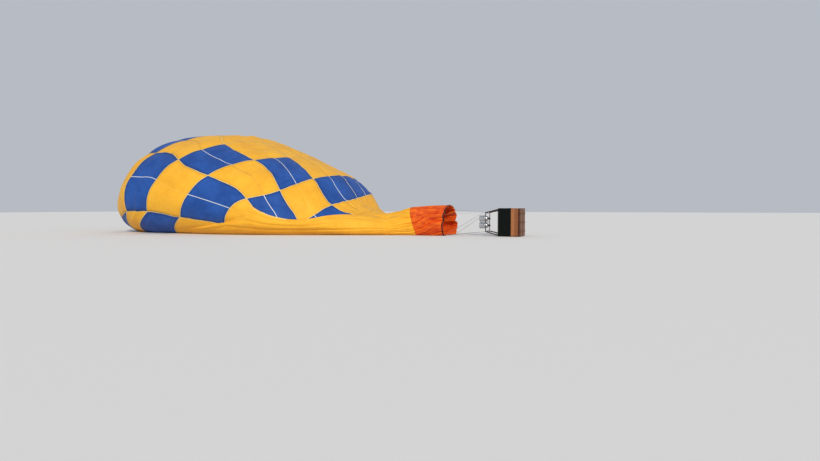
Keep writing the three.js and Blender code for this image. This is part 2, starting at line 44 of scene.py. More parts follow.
camera = {
    "at": (11.28, -32.47, 1.6),   # metres from the mouth's centre
    "heading": 23.0,              # degrees left of straight across the bag
    "down": 2.24,                 # degrees below the horizon
    "lens": 26.34, "wide": 36,    # mm: focal length and width of the picture
    "farthest": 500,
}

studio = {
    "floorColour": (0.86, 0.85, 0.83), "floorHalf": 160.0,
    "skyColour": (0.86, 0.91, 1.0), "skyStrength": 0.55,
    "sunColour": (1.0, 0.93, 0.82), "sunStrength": 2.1,
    "sunHeight": 26.0, "sunSide": 38.0, "sunSoft": 6.0,   # degrees
}


def addObject(name, data):
    made = bpy.data.objects.new(name, data)
    bpy.context.scene.collection.objects.link(made)
    return made


def placeCamera():
    cam = addObject("photoCamera", bpy.data.cameras.new("photoCamera"))
    cam.location = mouthAt + np.array(camera["at"])
    cam.rotation_euler = (radians(90 - camera["down"]), 0, radians(camera["heading"]))
    cam.data.lens = camera["lens"]
    cam.data.sensor_width = camera["wide"]
    cam.data.clip_end = camera["farthest"]
    bpy.context.scene.camera = cam


placeCamera()
print("camera placed")


def smooth(low, high, value):
    # eased step: t t (3 - 2 t) of the value's share between low and high
    t = np.clip((value - low) / (high - low), 0, 1)
    return t * t * (3 - 2 * t)


def curveThrough(x, y):
    # smooth curve through a few points without overshoot: a cubic whose slope at each point
    # is the weighted harmonic mean of its neighbours' slopes
    x, y = np.asarray(x, float), np.asarray(y, float)
    step, rise = np.diff(x), np.diff(y) / np.diff(x)
    slope = np.concatenate([rise[:1], np.zeros(len(x) - 2), rise[-1:]])
    a, b = 2 * step[1:] + step[:-1], step[1:] + 2 * step[:-1]
    same = rise[:-1] * rise[1:] > 0
    slope[1:-1][same] = (a + b)[same] / (a[same] / rise[:-1][same] + b[same] / rise[1:][same])

    def at(value):
        value = np.asarray(value, float)
        i = np.clip(np.searchsorted(x, value, side="right") - 1, 0, len(x) - 2)
        t = np.clip((value - x[i]) / step[i], 0, 1)
        return (y[i] * (2 * t ** 3 - 3 * t ** 2 + 1) + slope[i] * step[i] * (t ** 3 - 2 * t ** 2 + t)
                + y[i + 1] * (3 * t ** 2 - 2 * t ** 3) + slope[i + 1] * step[i] * (t ** 3 - t ** 2))

    return at


def curvesOf(table):
    # a curve for each column of a table over its first column
    columns = np.array(table, float).T
    return [curveThrough(columns[0], column) for column in columns[1:]]


def ripples(u, v, seed, waves, longest, shortest):
    # sum of sine waves of random heading and phase, wavelengths between the two lengths, about -1 to 1
    rng = np.random.default_rng(seed)
    total = 0
    for _ in range(waves):
        heading, phase = rng.uniform(0, 2 * pi, 2)
        length = shortest * (longest / shortest) ** rng.uniform()
        total = total + np.sin(2 * pi / length * (u * cos(heading) + v * sin(heading)) + phase)
    return total / waves ** 0.5


def steps(*runs):
    # even steps over each run of (from, to, count), end to end
    return np.concatenate([np.linspace(a, b, n, endpoint=False) for a, b, n in runs] + [[runs[-1][1]]])


def turnSteps(count):
    return np.linspace(0, 2 * pi, count, endpoint=False)


def unit(v):
    return v / np.maximum(np.linalg.norm(v, axis=-1, keepdims=True), 1e-12)


def oval(centre, across, up, count):
    # points round a closed curve: centre + cos a across + sin a up
    a = turnSteps(count)[:, None]
    return centre + np.cos(a) * across + np.sin(a) * up


def gridFaces(rows, cols, closeRows=False, closeCols=False):
    # the four corners of each cell of a grid of points that is numbered row by row
    i = np.arange(rows if closeRows else rows - 1)[:, None]
    j = np.arange(cols if closeCols else cols - 1)[None]
    nextRow, nextCol = (i + 1) % rows, (j + 1) % cols
    return np.stack(np.broadcast_arrays(i * cols + j, i * cols + nextCol,
                                        nextRow * cols + nextCol, nextRow * cols + j), -1).reshape(-1, 4)


def ringFaces(rings, sides, closed):
    # faces from ring to ring: the last ring meets the first, or both get a flat face
    faces, last = gridFaces(rings, sides, closed, True).tolist(), (rings - 1) * sides
    return faces if closed else faces + [[*range(sides - 1, -1, -1)], [*range(last, last + sides)]]


def crossedDiagonals(points, faces):
    # for each four-cornered face its direction, as long as twice its area
    p = points[faces]
    return np.cross(p[:, 2] - p[:, 0], p[:, 3] - p[:, 1])


def areaOf(points, faces):
    return float(np.linalg.norm(crossedDiagonals(points, faces), axis=1).sum() / 2)


def tubeFaces(points, rings, sides, closed):
    # turned over where the flux, the sum of (corner - middle) . (crossed diagonals), points inwards
    grid, faces = gridFaces(rings, sides, closed, True), ringFaces(rings, sides, closed)
    flux = ((points[grid[:, 0]] - points.mean(0)) * crossedDiagonals(points, grid)).sum()
    return faces if flux >= 0 else [face[::-1] for face in faces]


def headings(path, closed):
    return unit(np.roll(path, -1, 0) - np.roll(path, 1, 0)) if closed else unit(np.gradient(path, axis=0))


def tubeAlong(path, radius, sides=12, closed=False, up=(0.013, 0.021, 1.0)):
    # circle carried along a path, in the plane of a side direction, which lies across the path and the up
    # direction, and a top direction across both
    path = np.asarray(path, float)
    ahead = headings(path, closed)
    side = unit(np.cross(ahead, np.asarray(up, float)))
    radius = np.broadcast_to(radius, (len(path),))[:, None, None]
    rings = oval(path[:, None], radius * side[:, None], radius * np.cross(side, ahead)[:, None], sides)
    points = rings.reshape(-1, 3)
    return points, tubeFaces(points, len(path), sides, closed)


def turned(profile, centre, axis, sides=32):
    # profile of (distance, radius) turned about an axis: for each point a circle at centre + distance axis.
    # It starts and ends on the axis, or closes on itself.
    profile, axis = np.asarray(profile, float), unit(np.asarray(axis, float))
    side = unit(np.cross(axis, (0.12, 0.31, 0.94)))
    closed = profile[0, 1] > 1e-6
    distance, radius = (profile if closed else profile[1:-1]).T[..., None, None]
    rings = oval(centre + distance * axis, radius * side, radius * np.cross(axis, side), sides)
    points = rings.reshape(-1, 3)
    return points, tubeFaces(points, len(rings), sides, closed)


def rod(start, end, radius):
    # profile of a plain round bar
    return [(start, 0), (start, radius), (end, radius), (end, 0)]


def sleeve(start, end, inner, outer):
    # profile of a plain round pipe
    return [(start, inner), (end, inner), (end, outer), (start, outer)]


def shifted(profile, distance):
    return [(x + distance, radius) for x, radius in profile]


def block(middle, size):
    # box of a size round its middle
    pick = np.array([[0, 0, 0], [1, 0, 0], [1, 1, 0], [0, 1, 0], [0, 0, 1], [1, 0, 1], [1, 1, 1], [0, 1, 1]])
    faces = [[0, 3, 2, 1], [4, 5, 6, 7], [0, 1, 5, 4], [1, 2, 6, 5], [2, 3, 7, 6], [3, 0, 4, 7]]
    return middle + (pick - 0.5) * size, faces


def ribbonAlong(path, normal, width, thick, lift, closed=False):
    # flat band on a surface: corners = path +- half width across + (lift or lift + thick) normal
    across = unit(np.cross(normal, headings(path, closed)))
    corners = [(-1, lift), (1, lift), (1, lift + thick), (-1, lift + thick)]
    points = np.stack([path + side * width / 2 * across + high * normal for side, high in corners], 1)
    return points.reshape(-1, 3), ringFaces(len(path), 4, closed)


def asLists(faces):
    return faces.tolist() if hasattr(faces, "tolist") else faces


def joined(shapes):
    # several shapes as one list of points and faces
    points, faces, start = [], [], 0
    for p, f in shapes:
        points.append(p)
        faces += [[i + start for i in face] for face in asLists(f)]
        start += len(p)
    return np.concatenate(points), faces


def addPiece(name, shape, look, stands=(), body="balloon", uv=None, thick=0, bevel=0, flat=False):
    points, faces = shape
    mesh = bpy.data.meshes.new(name)
    mesh.from_pydata(np.asarray(points, float).tolist(), [], asLists(faces))
    mesh.materials.append(finish[look])
    if uv is not None:
        corner = np.empty(len(mesh.loops), np.int32)
        mesh.loops.foreach_get("vertex_index", corner)
        mesh.uv_layers.new(name="place").data.foreach_set("uv", uv[corner].astype(np.float32).ravel())
    mesh.polygons.foreach_set("use_smooth", np.full(len(mesh.polygons), not flat))
    mesh.update()
    piece = addObject(name, mesh)
    if thick:
        skin = piece.modifiers.new("thickness", "SOLIDIFY")
        skin.thickness, skin.offset = thick, -1
    if bevel:
        edge = piece.modifiers.new("edges", "BEVEL")
        edge.width, edge.segments, edge.limit_method, edge.angle_limit = bevel, 2, "ANGLE", radians(35)
    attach(piece, body)
    if stands:
        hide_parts(*stands)
    return piece


def connect(node, inputs):
    # values or links of a node's sockets
    for key, value in inputs.items():
        if isinstance(value, Term):
            value.tree.links.new(value.socket, node.inputs[key])
        else:
            node.inputs[key].default_value = value


class Term:
    # one output of a shader's node tree, so that pattern maths reads as an expression
    def __init__(self, tree, socket):
        self.tree, self.socket = tree, socket

    def node(self, kind, settings, inputs, out=0):
        made = self.tree.nodes.new(kind)
        for key, value in settings.items():
            setattr(made, key, value)
        connect(made, inputs)
        return Term(self.tree, made.outputs[out])

    def maths(self, operation, *values):
        return self.node("ShaderNodeMath", {"operation": operation}, dict(enumerate(values)))

    def __add__(self, other):
        return self.maths("ADD", self, other)

    def __radd__(self, other):
        return self.maths("ADD", other, self)

    def __sub__(self, other):
        return self.maths("SUBTRACT", self, other)

    def __rsub__(self, other):
        return self.maths("SUBTRACT", other, self)

    def __mul__(self, other):
        return self.maths("MULTIPLY", self, other)

    def __rmul__(self, other):
        return self.maths("MULTIPLY", other, self)

    def __truediv__(self, other):
        return self.maths("DIVIDE", self, other)

    def __rtruediv__(self, other):
        return self.maths("DIVIDE", other, self)

    def between(self, low, high):
        # 0 below low, 1 above high, eased between them
        return self.node("ShaderNodeMapRange", {"interpolation_type": "SMOOTHSTEP"},
                         {"Value": self, "From Min": low, "From Max": high})

    def colours(self, dark, light):
        return self.node("ShaderNodeMix", {"data_type": "RGBA"}, {0: self, 6: dark, 7: light}, 2)

    def noise(self, size, detail=3.0, stretch=(1, 1, 1)):
        # cloudy pattern whose patches are about this size in metres, longer along the stretch
        scale = [1 / (size * s) for s in stretch]
        place = self.node("ShaderNodeMapping", {}, {"Vector": self, "Scale": scale})
        return self.node("ShaderNodeTexNoise", {}, {"Vector": place, "Scale": 1.0, "Detail": detail})

    def tone(self):
        # a random value for each whole number
        return self.node("ShaderNodeTexWhiteNoise", {"noise_dimensions": "1D"}, {"W": self})

    def part(self, axis):
        return self.node("ShaderNodeSeparateXYZ", {}, {"Vector": self}, axis)

    def ownMap(self):
        # U and V of the piece's own map
        uv = self.node("ShaderNodeUVMap", {"uv_map": "place"}, {})
        return uv.part(0), uv.part(1)


finish = {}   # every material by its name


def startMaterial(name):
    material = finish[name] = bpy.data.materials.new(name)
    material.use_nodes = True
    tree = material.node_tree
    return tree.nodes["Principled BSDF"], Term(tree, tree.nodes.new("ShaderNodeTexCoord").outputs["Object"])


def bump(height, strength, distance):
    return height.node("ShaderNodeBump", {}, {"Strength": strength, "Distance": distance, "Height": height})


def rgb(colour, times=1.0):
    return (*[min(c * times, 1.0) for c in colour], 1.0)


# the cloth's own map: how much of U a gore takes and of V a row, and what that is in metres
clothMap = {"goreU": 0.06, "rowV": 0.12, "rowLong": 2.4, "columnWide": 2.3, "lastRow": 6.1}
yellow = dict(dark=(0.86, 0.415, 0.024), light=(0.94, 0.49, 0.034))
# paintedSeamShade: how strongly painted shade darkens the cloth along the checks' borders
clothFinishes = {
    "yellowCloth": dict(yellow, paintedSeamShade=0.14),
    "looseCloth": yellow,
    "blueCloth": dict(dark=(0.010, 0.062, 0.29), light=(0.019, 0.096, 0.40), paintedSeamShade=0.5),
    "orangeCloth": dict(dark=(0.58, 0.040, 0.005), light=(0.90, 0.170, 0.010), rough=0.6, crumple=0.4,
                        stretch=(0.9, 0.14, 0.14)),
}


def nearSeams(place, reach):
    # 1 on the borders of the checks, 0 further away than the reach: the distance to the nearest whole row and
    # to the nearest whole column, whichever is less. A column is two gores.
    u, v = place.ownMap()
    row, column = v / clothMap["rowV"], (u / clothMap["goreU"] - 1) / 2
    fromRow, fromColumn = [line.maths("ABSOLUTE", line - line.maths("ROUND", line)) for line in (row, column)]
    distance = row.maths("MINIMUM", fromRow * clothMap["rowLong"], fromColumn * clothMap["columnWide"])
    checked = 1 - row.between(clothMap["lastRow"], clothMap["lastRow"] + 0.1)
    return (1 - distance.between(0.0, reach)) * checked


def clothMaterial(name, dark, light, rough=0.55, crumple=0.5, stretch=(1, 1, 1), paintedSeamShade=0):
    # coated nylon: broad uneven light and dark, small crumples, and puckered cloth along the borders with
    # painted shade
    shader, place = startMaterial(name)
    broad, fine = place.noise(1.3, 3.0, stretch), place.noise(0.30, 5.0)
    colour = (broad * 0.65 + fine * 0.35).between(0.32, 0.68).colours(rgb(dark), rgb(light))
    height = place.noise(0.16, 3.0, (5, 1, 1)) + 0.3 * place.noise(0.05, 2.0, (3, 1, 1))
    if paintedSeamShade:
        # painted shade: the colour darkens along the checks' borders, where the puffed cloth slopes into the
        # seams
        colour = (paintedSeamShade * nearSeams(place, 0.2)).colours(colour, rgb(dark, 0.3))
        height = height + 0.6 * nearSeams(place, 0.28) * place.noise(0.07, 2.0)
    connect(shader, {"Base Color": colour, "Roughness": rough + 0.12 * fine, "Sheen Weight": 0.04,
                     "Specular IOR Level": 0.22, "Normal": bump(height, crumple, 0.02)})


wood = (0.15, 0.066, 0.032)
plainFinishes = {
    "creamTape": dict(colour=(0.80, 0.62, 0.28), rough=0.7, grain=0.3, shade=0.08),
    "whiteTape": dict(colour=(0.72, 0.76, 0.80), rough=0.7, grain=0.3, shade=0.06),
    "faintTape": dict(colour=(0.93, 0.52, 0.07), rough=0.65, grain=0.3, shade=0.06),
    "darkTape": dict(colour=(0.028, 0.022, 0.028), rough=0.8, grain=0.02),
    "darkLeather": dict(colour=(0.022, 0.024, 0.022), rough=0.55, grain=0.012, depth=0.002, strength=0.5),
    "tanLeather": dict(colour=(0.38, 0.145, 0.055), rough=0.6, grain=0.06, depth=0.002, strength=0.4),
    "brownLeather": dict(colour=(0.075, 0.022, 0.012), rough=0.55, grain=0.05, depth=0.002, strength=0.4),
    "coverCloth": dict(colour=(0.0055, 0.0075, 0.007), rough=0.85, grain=0.12, depth=0.01, strength=0.5),
    "runnerWood": dict(colour=wood, rough=0.55, grain=0.02, shade=0.35, stretch=(1, 14, 1)),
    "aluminium": dict(colour=(0.62, 0.63, 0.64), rough=0.38, metal=1.0, grain=0.04, shade=0.06),
    "darkPaint": dict(colour=(0.025, 0.028, 0.032), rough=0.45, metal=0.2, grain=0.03),
    "steel": dict(colour=(0.55, 0.56, 0.58), rough=0.32, metal=1.0, grain=0.02, shade=0.08),
    "wire": dict(colour=(0.30, 0.31, 0.33), rough=0.4, metal=0.9, grain=0.004),
    "brass": dict(colour=(0.62, 0.42, 0.16), rough=0.35, metal=1.0, grain=0.01),
    "redPaint": dict(colour=(0.55, 0.03, 0.02), rough=0.4, grain=0.02),
}


def plainMaterial(name, colour, rough, grain, metal=0.0, shade=0.15, stretch=(1, 1, 1), depth=0.001,
                  strength=0.25):
    # spots of the grain's size, darker and lighter than the colour by the shade
    shader, place = startMaterial(name)
    spots = place.noise(grain, 4.0, stretch)
    tone = spots.between(0.3, 0.7).colours(rgb(colour, 1 - shade), rgb(colour, 1 + shade))
    connect(shader, {"Base Color": tone, "Roughness": (rough - 0.06) + 0.12 * spots, "Metallic": metal,
                     "Specular IOR Level": 0.5 if rough < 0.5 else 0.2 if rough < 0.8 else 0.08,
                     "Normal": bump(spots, strength, depth)})


for name, settings in clothFinishes.items():
    clothMaterial(name, **settings)
for name, settings in plainFinishes.items():
    plainMaterial(name, **settings)
print("materials made")

# the bag's surface over gores, counted round from the near foot, and rows of cloth, counted from the crown
bag = {
    "bend": (8.0, 3.0, 8.0),       # degrees that the axis turns away, between these two distances
    "waist": 0.36,                 # height of the widest line as a share of the bag's height
    "base": 1.25,                  # how far below the waist the section would reach, in waists
    "gores": 36, "farFoot": 16,    # gores all round, and the gore at the far foot; the near foot's is 0
    "lastCheck": 6, "orangeFrom": 7.3, "lastRow": 8,
    "tuck": 0.66,                  # share of the tucked edge's sweep that is taken
    "puff": 0.045, "gather": 0.05, "crease": 0.018, "streak": 0.010, "crownGather": 0.05, "lay": 0.012,
    # distance from the mouth, half width, height
    "sections": [(0, 1.30, 1.70), (2, 1.50, 1.60), (4, 2.10, 1.18), (5.5, 2.85, 1.56), (7.5, 4.25, 3.50),
                 (10, 5.85, 4.60), (12.5, 6.90, 5.60), (15, 7.40, 6.40), (17.5, 7.70, 6.50),
                 (19.5, 6.90, 5.00), (21.3, 5.30, 3.90), (22.2, 2.70, 3.80)],
    # row of cloth from the crown, distance at the ridge, more at the foot, sweep of the tucked edge,
    # share of the extra distance that slack cloth keeps
    "seams": [(0, 22.2, 0, 0, 3), (0.5, 18.9, 1.4, 0.9, 3), (1, 16.1, 2.3, 2.6, 3), (2, 13.0, 4.0, 2.3, 3),
              (3, 10.3, 4.6, 1.0, 2), (4, 7.55, 5.45, 0, 0.8), (5, 6.1, 7.2, 0, 0.45), (6, 4.9, 5.5, 0, 0.35),
              (7, 2.3, 0.6, 0, 1), (8, 0, 0, 0, 1)],
    # distance from the mouth, gore at the near foot, gore on the ridge
    "spread": [(0, 5, 8.8), (6.2, 5, 8.8), (7.5, 3.6, 8.65), (10.5, 0.3, 7.9), (13.5, 0, 7.25), (16, 0, 5.9),
               (22.2, 0, 5.9)],
    # distance from the mouth, height of the slack roll's fold along the cloth, how far it stands out
    "bulge": [(0, 0.3, 0), (2.2, 0.6, 0), (3.6, 0.75, 0.11), (6, 1.25, 0.27), (8.5, 1.3, 0.3),
              (11, 0.75, 0.21), (13.5, 0.4, 0.09), (15.5, 0.3, 0), (22.2, 0.3, 0)],
}
halfWidth, bagHeight = curvesOf(bag["sections"])
seamRidge, seamFoot, seamTuck, seamKeep = curvesOf(bag["seams"])
footGore, ridgeGore = curvesOf(bag["spread"])
bulgeFold, bulgeOut = curvesOf(bag["bulge"])
bagLong = bag["sections"][-1][0]

spineStep = 0.05
spineAlong = np.arange(0, 24.0, spineStep)
spineTurn = radians(bag["bend"][0]) * smooth(*bag["bend"][1:], spineAlong)
spineMid = (spineTurn[1:] + spineTurn[:-1]) / 2
spineX = -np.concatenate([[0], np.cumsum(np.cos(spineMid))]) * spineStep
spineY = np.concatenate([[0], np.cumsum(np.sin(spineMid))]) * spineStep


def foldHeight(along):
    # height of the slack roll's fold, which stays under the bag's own height
    return np.minimum(bulgeFold(along), 0.9 * bagHeight(along))


def sectionPoint(along, angle):
    # section of the bag, angle 0 on the ridge and positive on the near side: height = waist
    # + (top - waist) cos above the waist, waist (1 + base cos) below it and cut off at the ground;
    # side = half width sin, fuller below the waist, plus a part of a sine wave where the slack roll
    # stands out. The section stands across the bag's slowly turning axis.
    half, high = halfWidth(along), bagHeight(along)
    waist = bag["waist"] * high
    c, s = np.cos(angle), np.sin(angle)
    z = np.where(c >= 0, waist + (high - waist) * c, np.maximum(waist * (1 + bag["base"] * c), 0))
    rise = np.minimum(z / foldHeight(along), 1)
    bulge = np.where(np.abs(s) > 0.01, bulgeOut(along) * np.sin(pi * (0.25 + 0.75 * rise)), 0)
    side = np.sign(s) * (half * np.abs(s) ** np.where(c >= 0, 1.0, 0.55) + bulge)
    turn = np.interp(along, spineAlong, spineTurn)
    x = np.interp(along, spineAlong, spineX) - side * np.sin(turn)
    y = np.interp(along, spineAlong, spineY) - side * np.cos(turn)
    return np.stack([x, y, z], -1)


# angle at a share of the arc from the foot (0) to the ridge (1), worked out once over the bag's length
footAngle = np.arccos(-1 / bag["base"])
alongCount, angleCount, shareCount = 180, 97, 129
tableAlong, tableAngle = np.linspace(0, bagLong, alongCount), footAngle * (1 - np.linspace(0, 1, angleCount))
arcs = sectionPoint(*np.broadcast_arrays(tableAlong[:, None], tableAngle[None]))
arcs = np.cumsum(np.linalg.norm(np.diff(arcs, axis=1), axis=-1), 1)
arcs = np.concatenate([np.zeros((alongCount, 1)), arcs], 1)
angleTable = np.array([np.interp(np.linspace(0, 1, shareCount), a / a[-1], tableAngle) for a in arcs])


def angleAtShare(along, share):
    # the table's value, in proportion between its four nearest places
    a = np.clip(along / bagLong * (alongCount - 1), 0, alongCount - 1.001)
    b = np.clip(share * (shareCount - 1), 0, shareCount - 1.001)
    i, j = a.astype(int), b.astype(int)
    f, k, t = a - i, b - j, angleTable
    return (t[i, j] * (1 - f) * (1 - k) + t[i + 1, j] * f * (1 - k)
            + t[i, j + 1] * (1 - f) * k + t[i + 1, j + 1] * f * k)


def bagPlace(gore, row):
    # distance = ridge + foot (1 - gore / 8)^2, held back where the cloth is slack, + tuck times a quarter
    # sine wave over the last gore before each foot; then the gore's share of the arc from foot to ridge,
    # or of the flat bottom below the feet
    inner = np.clip(gore, 0, bag["farFoot"])
    sweep = (1 - inner / (bag["farFoot"] / 2)) ** 2
    fold = sweep / (1 + (sweep / seamKeep(row)) ** 4) ** 0.25
    edge = bag["tuck"] * np.sin(pi / 2 * np.maximum(0, 1 - np.minimum(inner, bag["farFoot"] - inner)))
    along = seamRidge(row) + seamFoot(row) * fold + seamTuck(row) * edge
    first, top = footGore(along), ridgeGore(along)
    last = 2 * top - first
    g = np.where(gore < first, gore + bag["gores"], gore)
    share = np.clip(np.where(g <= top, g - first, last - g) / (top - first), 0, 1)
    angle = angleAtShare(along, share) * np.where(g <= top, 1, -1)
    under = np.clip((g - last) / (bag["gores"] + first - last), 0, 1)
    return along, angle, under, g > last, share * np.interp(along, tableAlong, arcs[:, -1])


def barePoint(gore, row):
    along, angle, under, below, arc = bagPlace(gore, row)
    far, near = sectionPoint(along, -footAngle), sectionPoint(along, footAngle)
    flat = far + (near - far) * under[..., None]
    return np.where(below[..., None], flat, sectionPoint(along, angle)), along, arc, below


def normalOn(surface, gore, row, goreStep, rowStep):
    # cross product of a surface's slopes along gore and row, from points a little to each side
    a = surface(gore + goreStep, row) - surface(gore - goreStep, row)
    b = surface(gore, np.minimum(row + rowStep, bag["lastRow"])) - surface(gore, np.maximum(row - rowStep, 0))
    return unit(np.cross(b, a))


def bagWaves(gore, row, along, arc, z):
    # how far the cloth stands out from the bare surface: a sine hump on each gore between its tapes,
    # lengthwise gathers where the neck is narrower than its cloth, folds that fan out from the neck's
    # foot towards the mouth, soft creases, small gathers round the crown's edge
    full = smooth(5.5, 9.5, along)
    puff = bag["puff"] * np.abs(np.sin(pi * gore)) * (0.25 + 0.75 * full)
    slack = np.exp(-((along - 5.8) / 1.5) ** 2)
    pleat = np.abs(np.sin(pi * (2.0 * gore + 0.3 * np.sin(1.3 * along) + 0.2 * np.sin(3.1 * gore)))) - 0.6
    soft = bag["crease"] * ripples(gore * 0.95, row * 2.9, 5, 9, 3.2, 0.7) * (0.5 + 0.5 * full)
    streak = bag["streak"] * ripples(gore * 3.4, row * 1.1, 11, 8, 3.0, 0.9) * full
    rim = bag["crownGather"] * np.exp(-row / 0.22) * (np.abs(np.sin(pi * 2 * gore)) - 0.6)
    calm = 1 - 0.9 * smooth(0.02, 0.12, bulgeOut(along)) * (1 - smooth(1.02, 1.3, z / foldHeight(along)))
    waves = puff + bag["gather"] * slack * pleat + soft + streak + rim
    return waves * calm * smooth(4.2, 5.2, along) + neckFolds(along, arc)


neck = {
    "fold": 0.17, "depth": 0.07, "squeeze": 0.42, "wall": 2.6, "joinAt": 1.9,
    # height at the mouth, depth and half width of the deepest folds at the join and at the mouth
    "deep": [(0.34, 0.04, 0.10, 0.05, 0.06), (1.06, 0.10, 0.32, 0.05, 0.13), (1.50, 0.04, 0.11, 0.05, 0.06),
             (1.80, 0.03, 0.08, 0.05, 0.05), (2.20, 0.03, 0.08, 0.05, 0.05)],
}


def neckFolds(along, arc):
    # folds sqrt(sin^2 + 0.05) of a height that runs level along the neck, dense near the ground, and fans
    # out over the mouth's cloth: height = wall (arc / wall)^squeeze at the join, turning into the plain arc
    # at the mouth. The folds are as deep as they are wide, half as deep on the mouth's upper rim, and a few
    # bell-shaped valleys are deeper.
    wall, squeeze = neck["wall"], neck["squeeze"]
    share = smooth(0.0, 1.0, (neck["joinAt"] - along) / neck["joinAt"]) ** 0.8
    up = np.clip(arc, 0.01, wall) / wall
    height = (1 - share) * wall * up ** squeeze + share * arc
    tight = (1 - share) * squeeze * up ** (squeeze - 1) + share
    height = height + 0.05 * np.sin(1.7 * along + 2.6 * arc) + 0.03 * np.sin(3.9 * along - 4.3 * arc)
    line = height / neck["fold"]
    uneven = 0.22 * np.sin(2 * pi * (1.37 * line + 0.3 * along))
    folds = np.sqrt(np.sin(pi * line) ** 2 + 0.05) + uneven - 0.65
    opened = smooth(neck["joinAt"], 0.2, along)
    valleys = sum((d0 + (d1 - d0) * opened) * np.exp(-((height - h) / (w0 + (w1 - w0) * opened)) ** 2)
                  for h, d0, d1, w0, w1 in neck["deep"])
    depth = np.clip(1 / tight, 0.2, 1.4) * (1 - 0.5 * opened * smooth(1.6, 2.4, arc))
    return (neck["depth"] * folds - valleys * smooth(4.2, 1.6, along)) * depth * smooth(6.2, 4.6, along)


def bagPoint(gore, row):
    # the bare surface moved out along its normal by the waves, easing to nothing at the ground
    gore, row = np.broadcast_arrays(np.asarray(gore, float), np.asarray(row, float))
    bare, along, arc, below = barePoint(gore, row)
    normal = normalOn(lambda g, r: barePoint(g, r)[0], gore, row, 0.02, 0.01)
    out = bagWaves(gore, row, along, arc, bare[..., 2]) * smooth(0.0, 0.16, arc) * np.where(below, 0, 1)
    lift = bag["lay"] * (1 + ripples(bare[..., 0], bare[..., 1], 7, 7, 1.6, 0.4) / 2) * below
    moved = bare + out[..., None] * normal
    moved[..., 2] = np.maximum(moved[..., 2], offGround) + np.maximum(lift, 0)
    return moved + mouthAt


def blueAt(gore, row):
    # blue where the row's and the column's numbers add up odd; a column is two gores wide.
    # The field high on the bag, gores 7 to 13 and wider in row 1, is bare, and row 4 is blue right across it.
    column, line = np.floor((gore - 1) / 2).astype(int), np.floor(row).astype(int)
    field = (line > 0) & (np.abs(gore - 10) < np.where(line == 1, 5, 3))
    return np.where(field, line == 4, (line + column) % 2 != 0) & (line < bag["lastCheck"])


cloth = {
    "perGore": 12, "perRow": 42, "neckRows": 44, "mouthRows": 48,
    "underPerGore": 4, "underPerRow": 20, "underNeckRows": 16, "underMouthRows": 12,
    "thick": 0.008,
    "goreFlat": 1.16, "fullness": 1.04,   # a gore's flat width, the cloth's length over what shows
    "lean": 0.32,
}


def clothGrid(gores, rows):
    # the bag's surface over gore and row lines, with the middle gore and row of each face. Row lines near the
    # orange cloth lean back over the ridge: row - lean, most where it starts and nothing at the last check
    # and at the mouth
    g, r = np.meshgrid(gores, rows)
    lean = cloth["lean"] * smooth(5.0, 8.8, g) * (1 - smooth(9.5, 12.6, g))
    low, join, high = bag["lastCheck"], bag["orangeFrom"], bag["lastRow"]
    leant = r - lean * np.clip(np.minimum((r - low) / (join - low), (high - r) / (high - join)), 0, 1)
    faces = gridFaces(len(rows), len(gores))
    middle = [line.ravel()[faces].mean(1) for line in (g, r)]
    return bagPoint(g, leant).reshape(-1, 3), faces, middle, np.stack([g.ravel(), r.ravel()], -1)


def clothPiece(name, colour, grid, gores, rows, held, stands):
    # the faces of a grid that have the colour and lie between two gores and two rows
    points, faces, (gore, row), place = grid
    inside = (gore > gores[0]) & (gore < gores[1]) & (row > rows[0]) & (row < rows[1])
    used, at = np.unique(faces[inside & (blueAt(gore, row) == (colour == "blue"))], return_inverse=True)
    faces, points, place = at.reshape(-1, 4), points[used], place[used]
    piece = addPiece(name, (points, faces[:, ::-1]), f"{colour}Cloth", stands,
                     uv=place * (clothMap["goreU"], clothMap["rowV"]), thick=cloth["thick"])
    wide = np.ptp(place[:, 0]) * cloth["goreFlat"]
    long = areaOf(points, faces) / wide * cloth["fullness"]


checks, orange, mouth, foot = bag["lastCheck"], bag["orangeFrom"], bag["lastRow"], bag["farFoot"]
upperGores = steps((0, foot, foot * cloth["perGore"]))
# near the mouth gores 5 to 12.6 make the walls, so they get most of the steps
neckGores = steps((0, 5, 20), (5, 8.8, 140), (8.8, 12.6, 130), (12.6, foot, 14))
underGores = steps((foot, bag["gores"], (bag["gores"] - foot) * cloth["underPerGore"]))
upper = clothGrid(upperGores, steps((0, checks, checks * cloth["perRow"])))
neckUpper = clothGrid(neckGores, steps((checks, orange, cloth["neckRows"])))
mouthUpper = clothGrid(neckGores, steps((orange, mouth, cloth["mouthRows"])))
under = clothGrid(underGores, steps((0, checks, checks * cloth["underPerRow"]),
                                    (checks, orange, cloth["underNeckRows"])))
mouthUnder = clothGrid(underGores, steps((orange, mouth, cloth["underMouthRows"])))
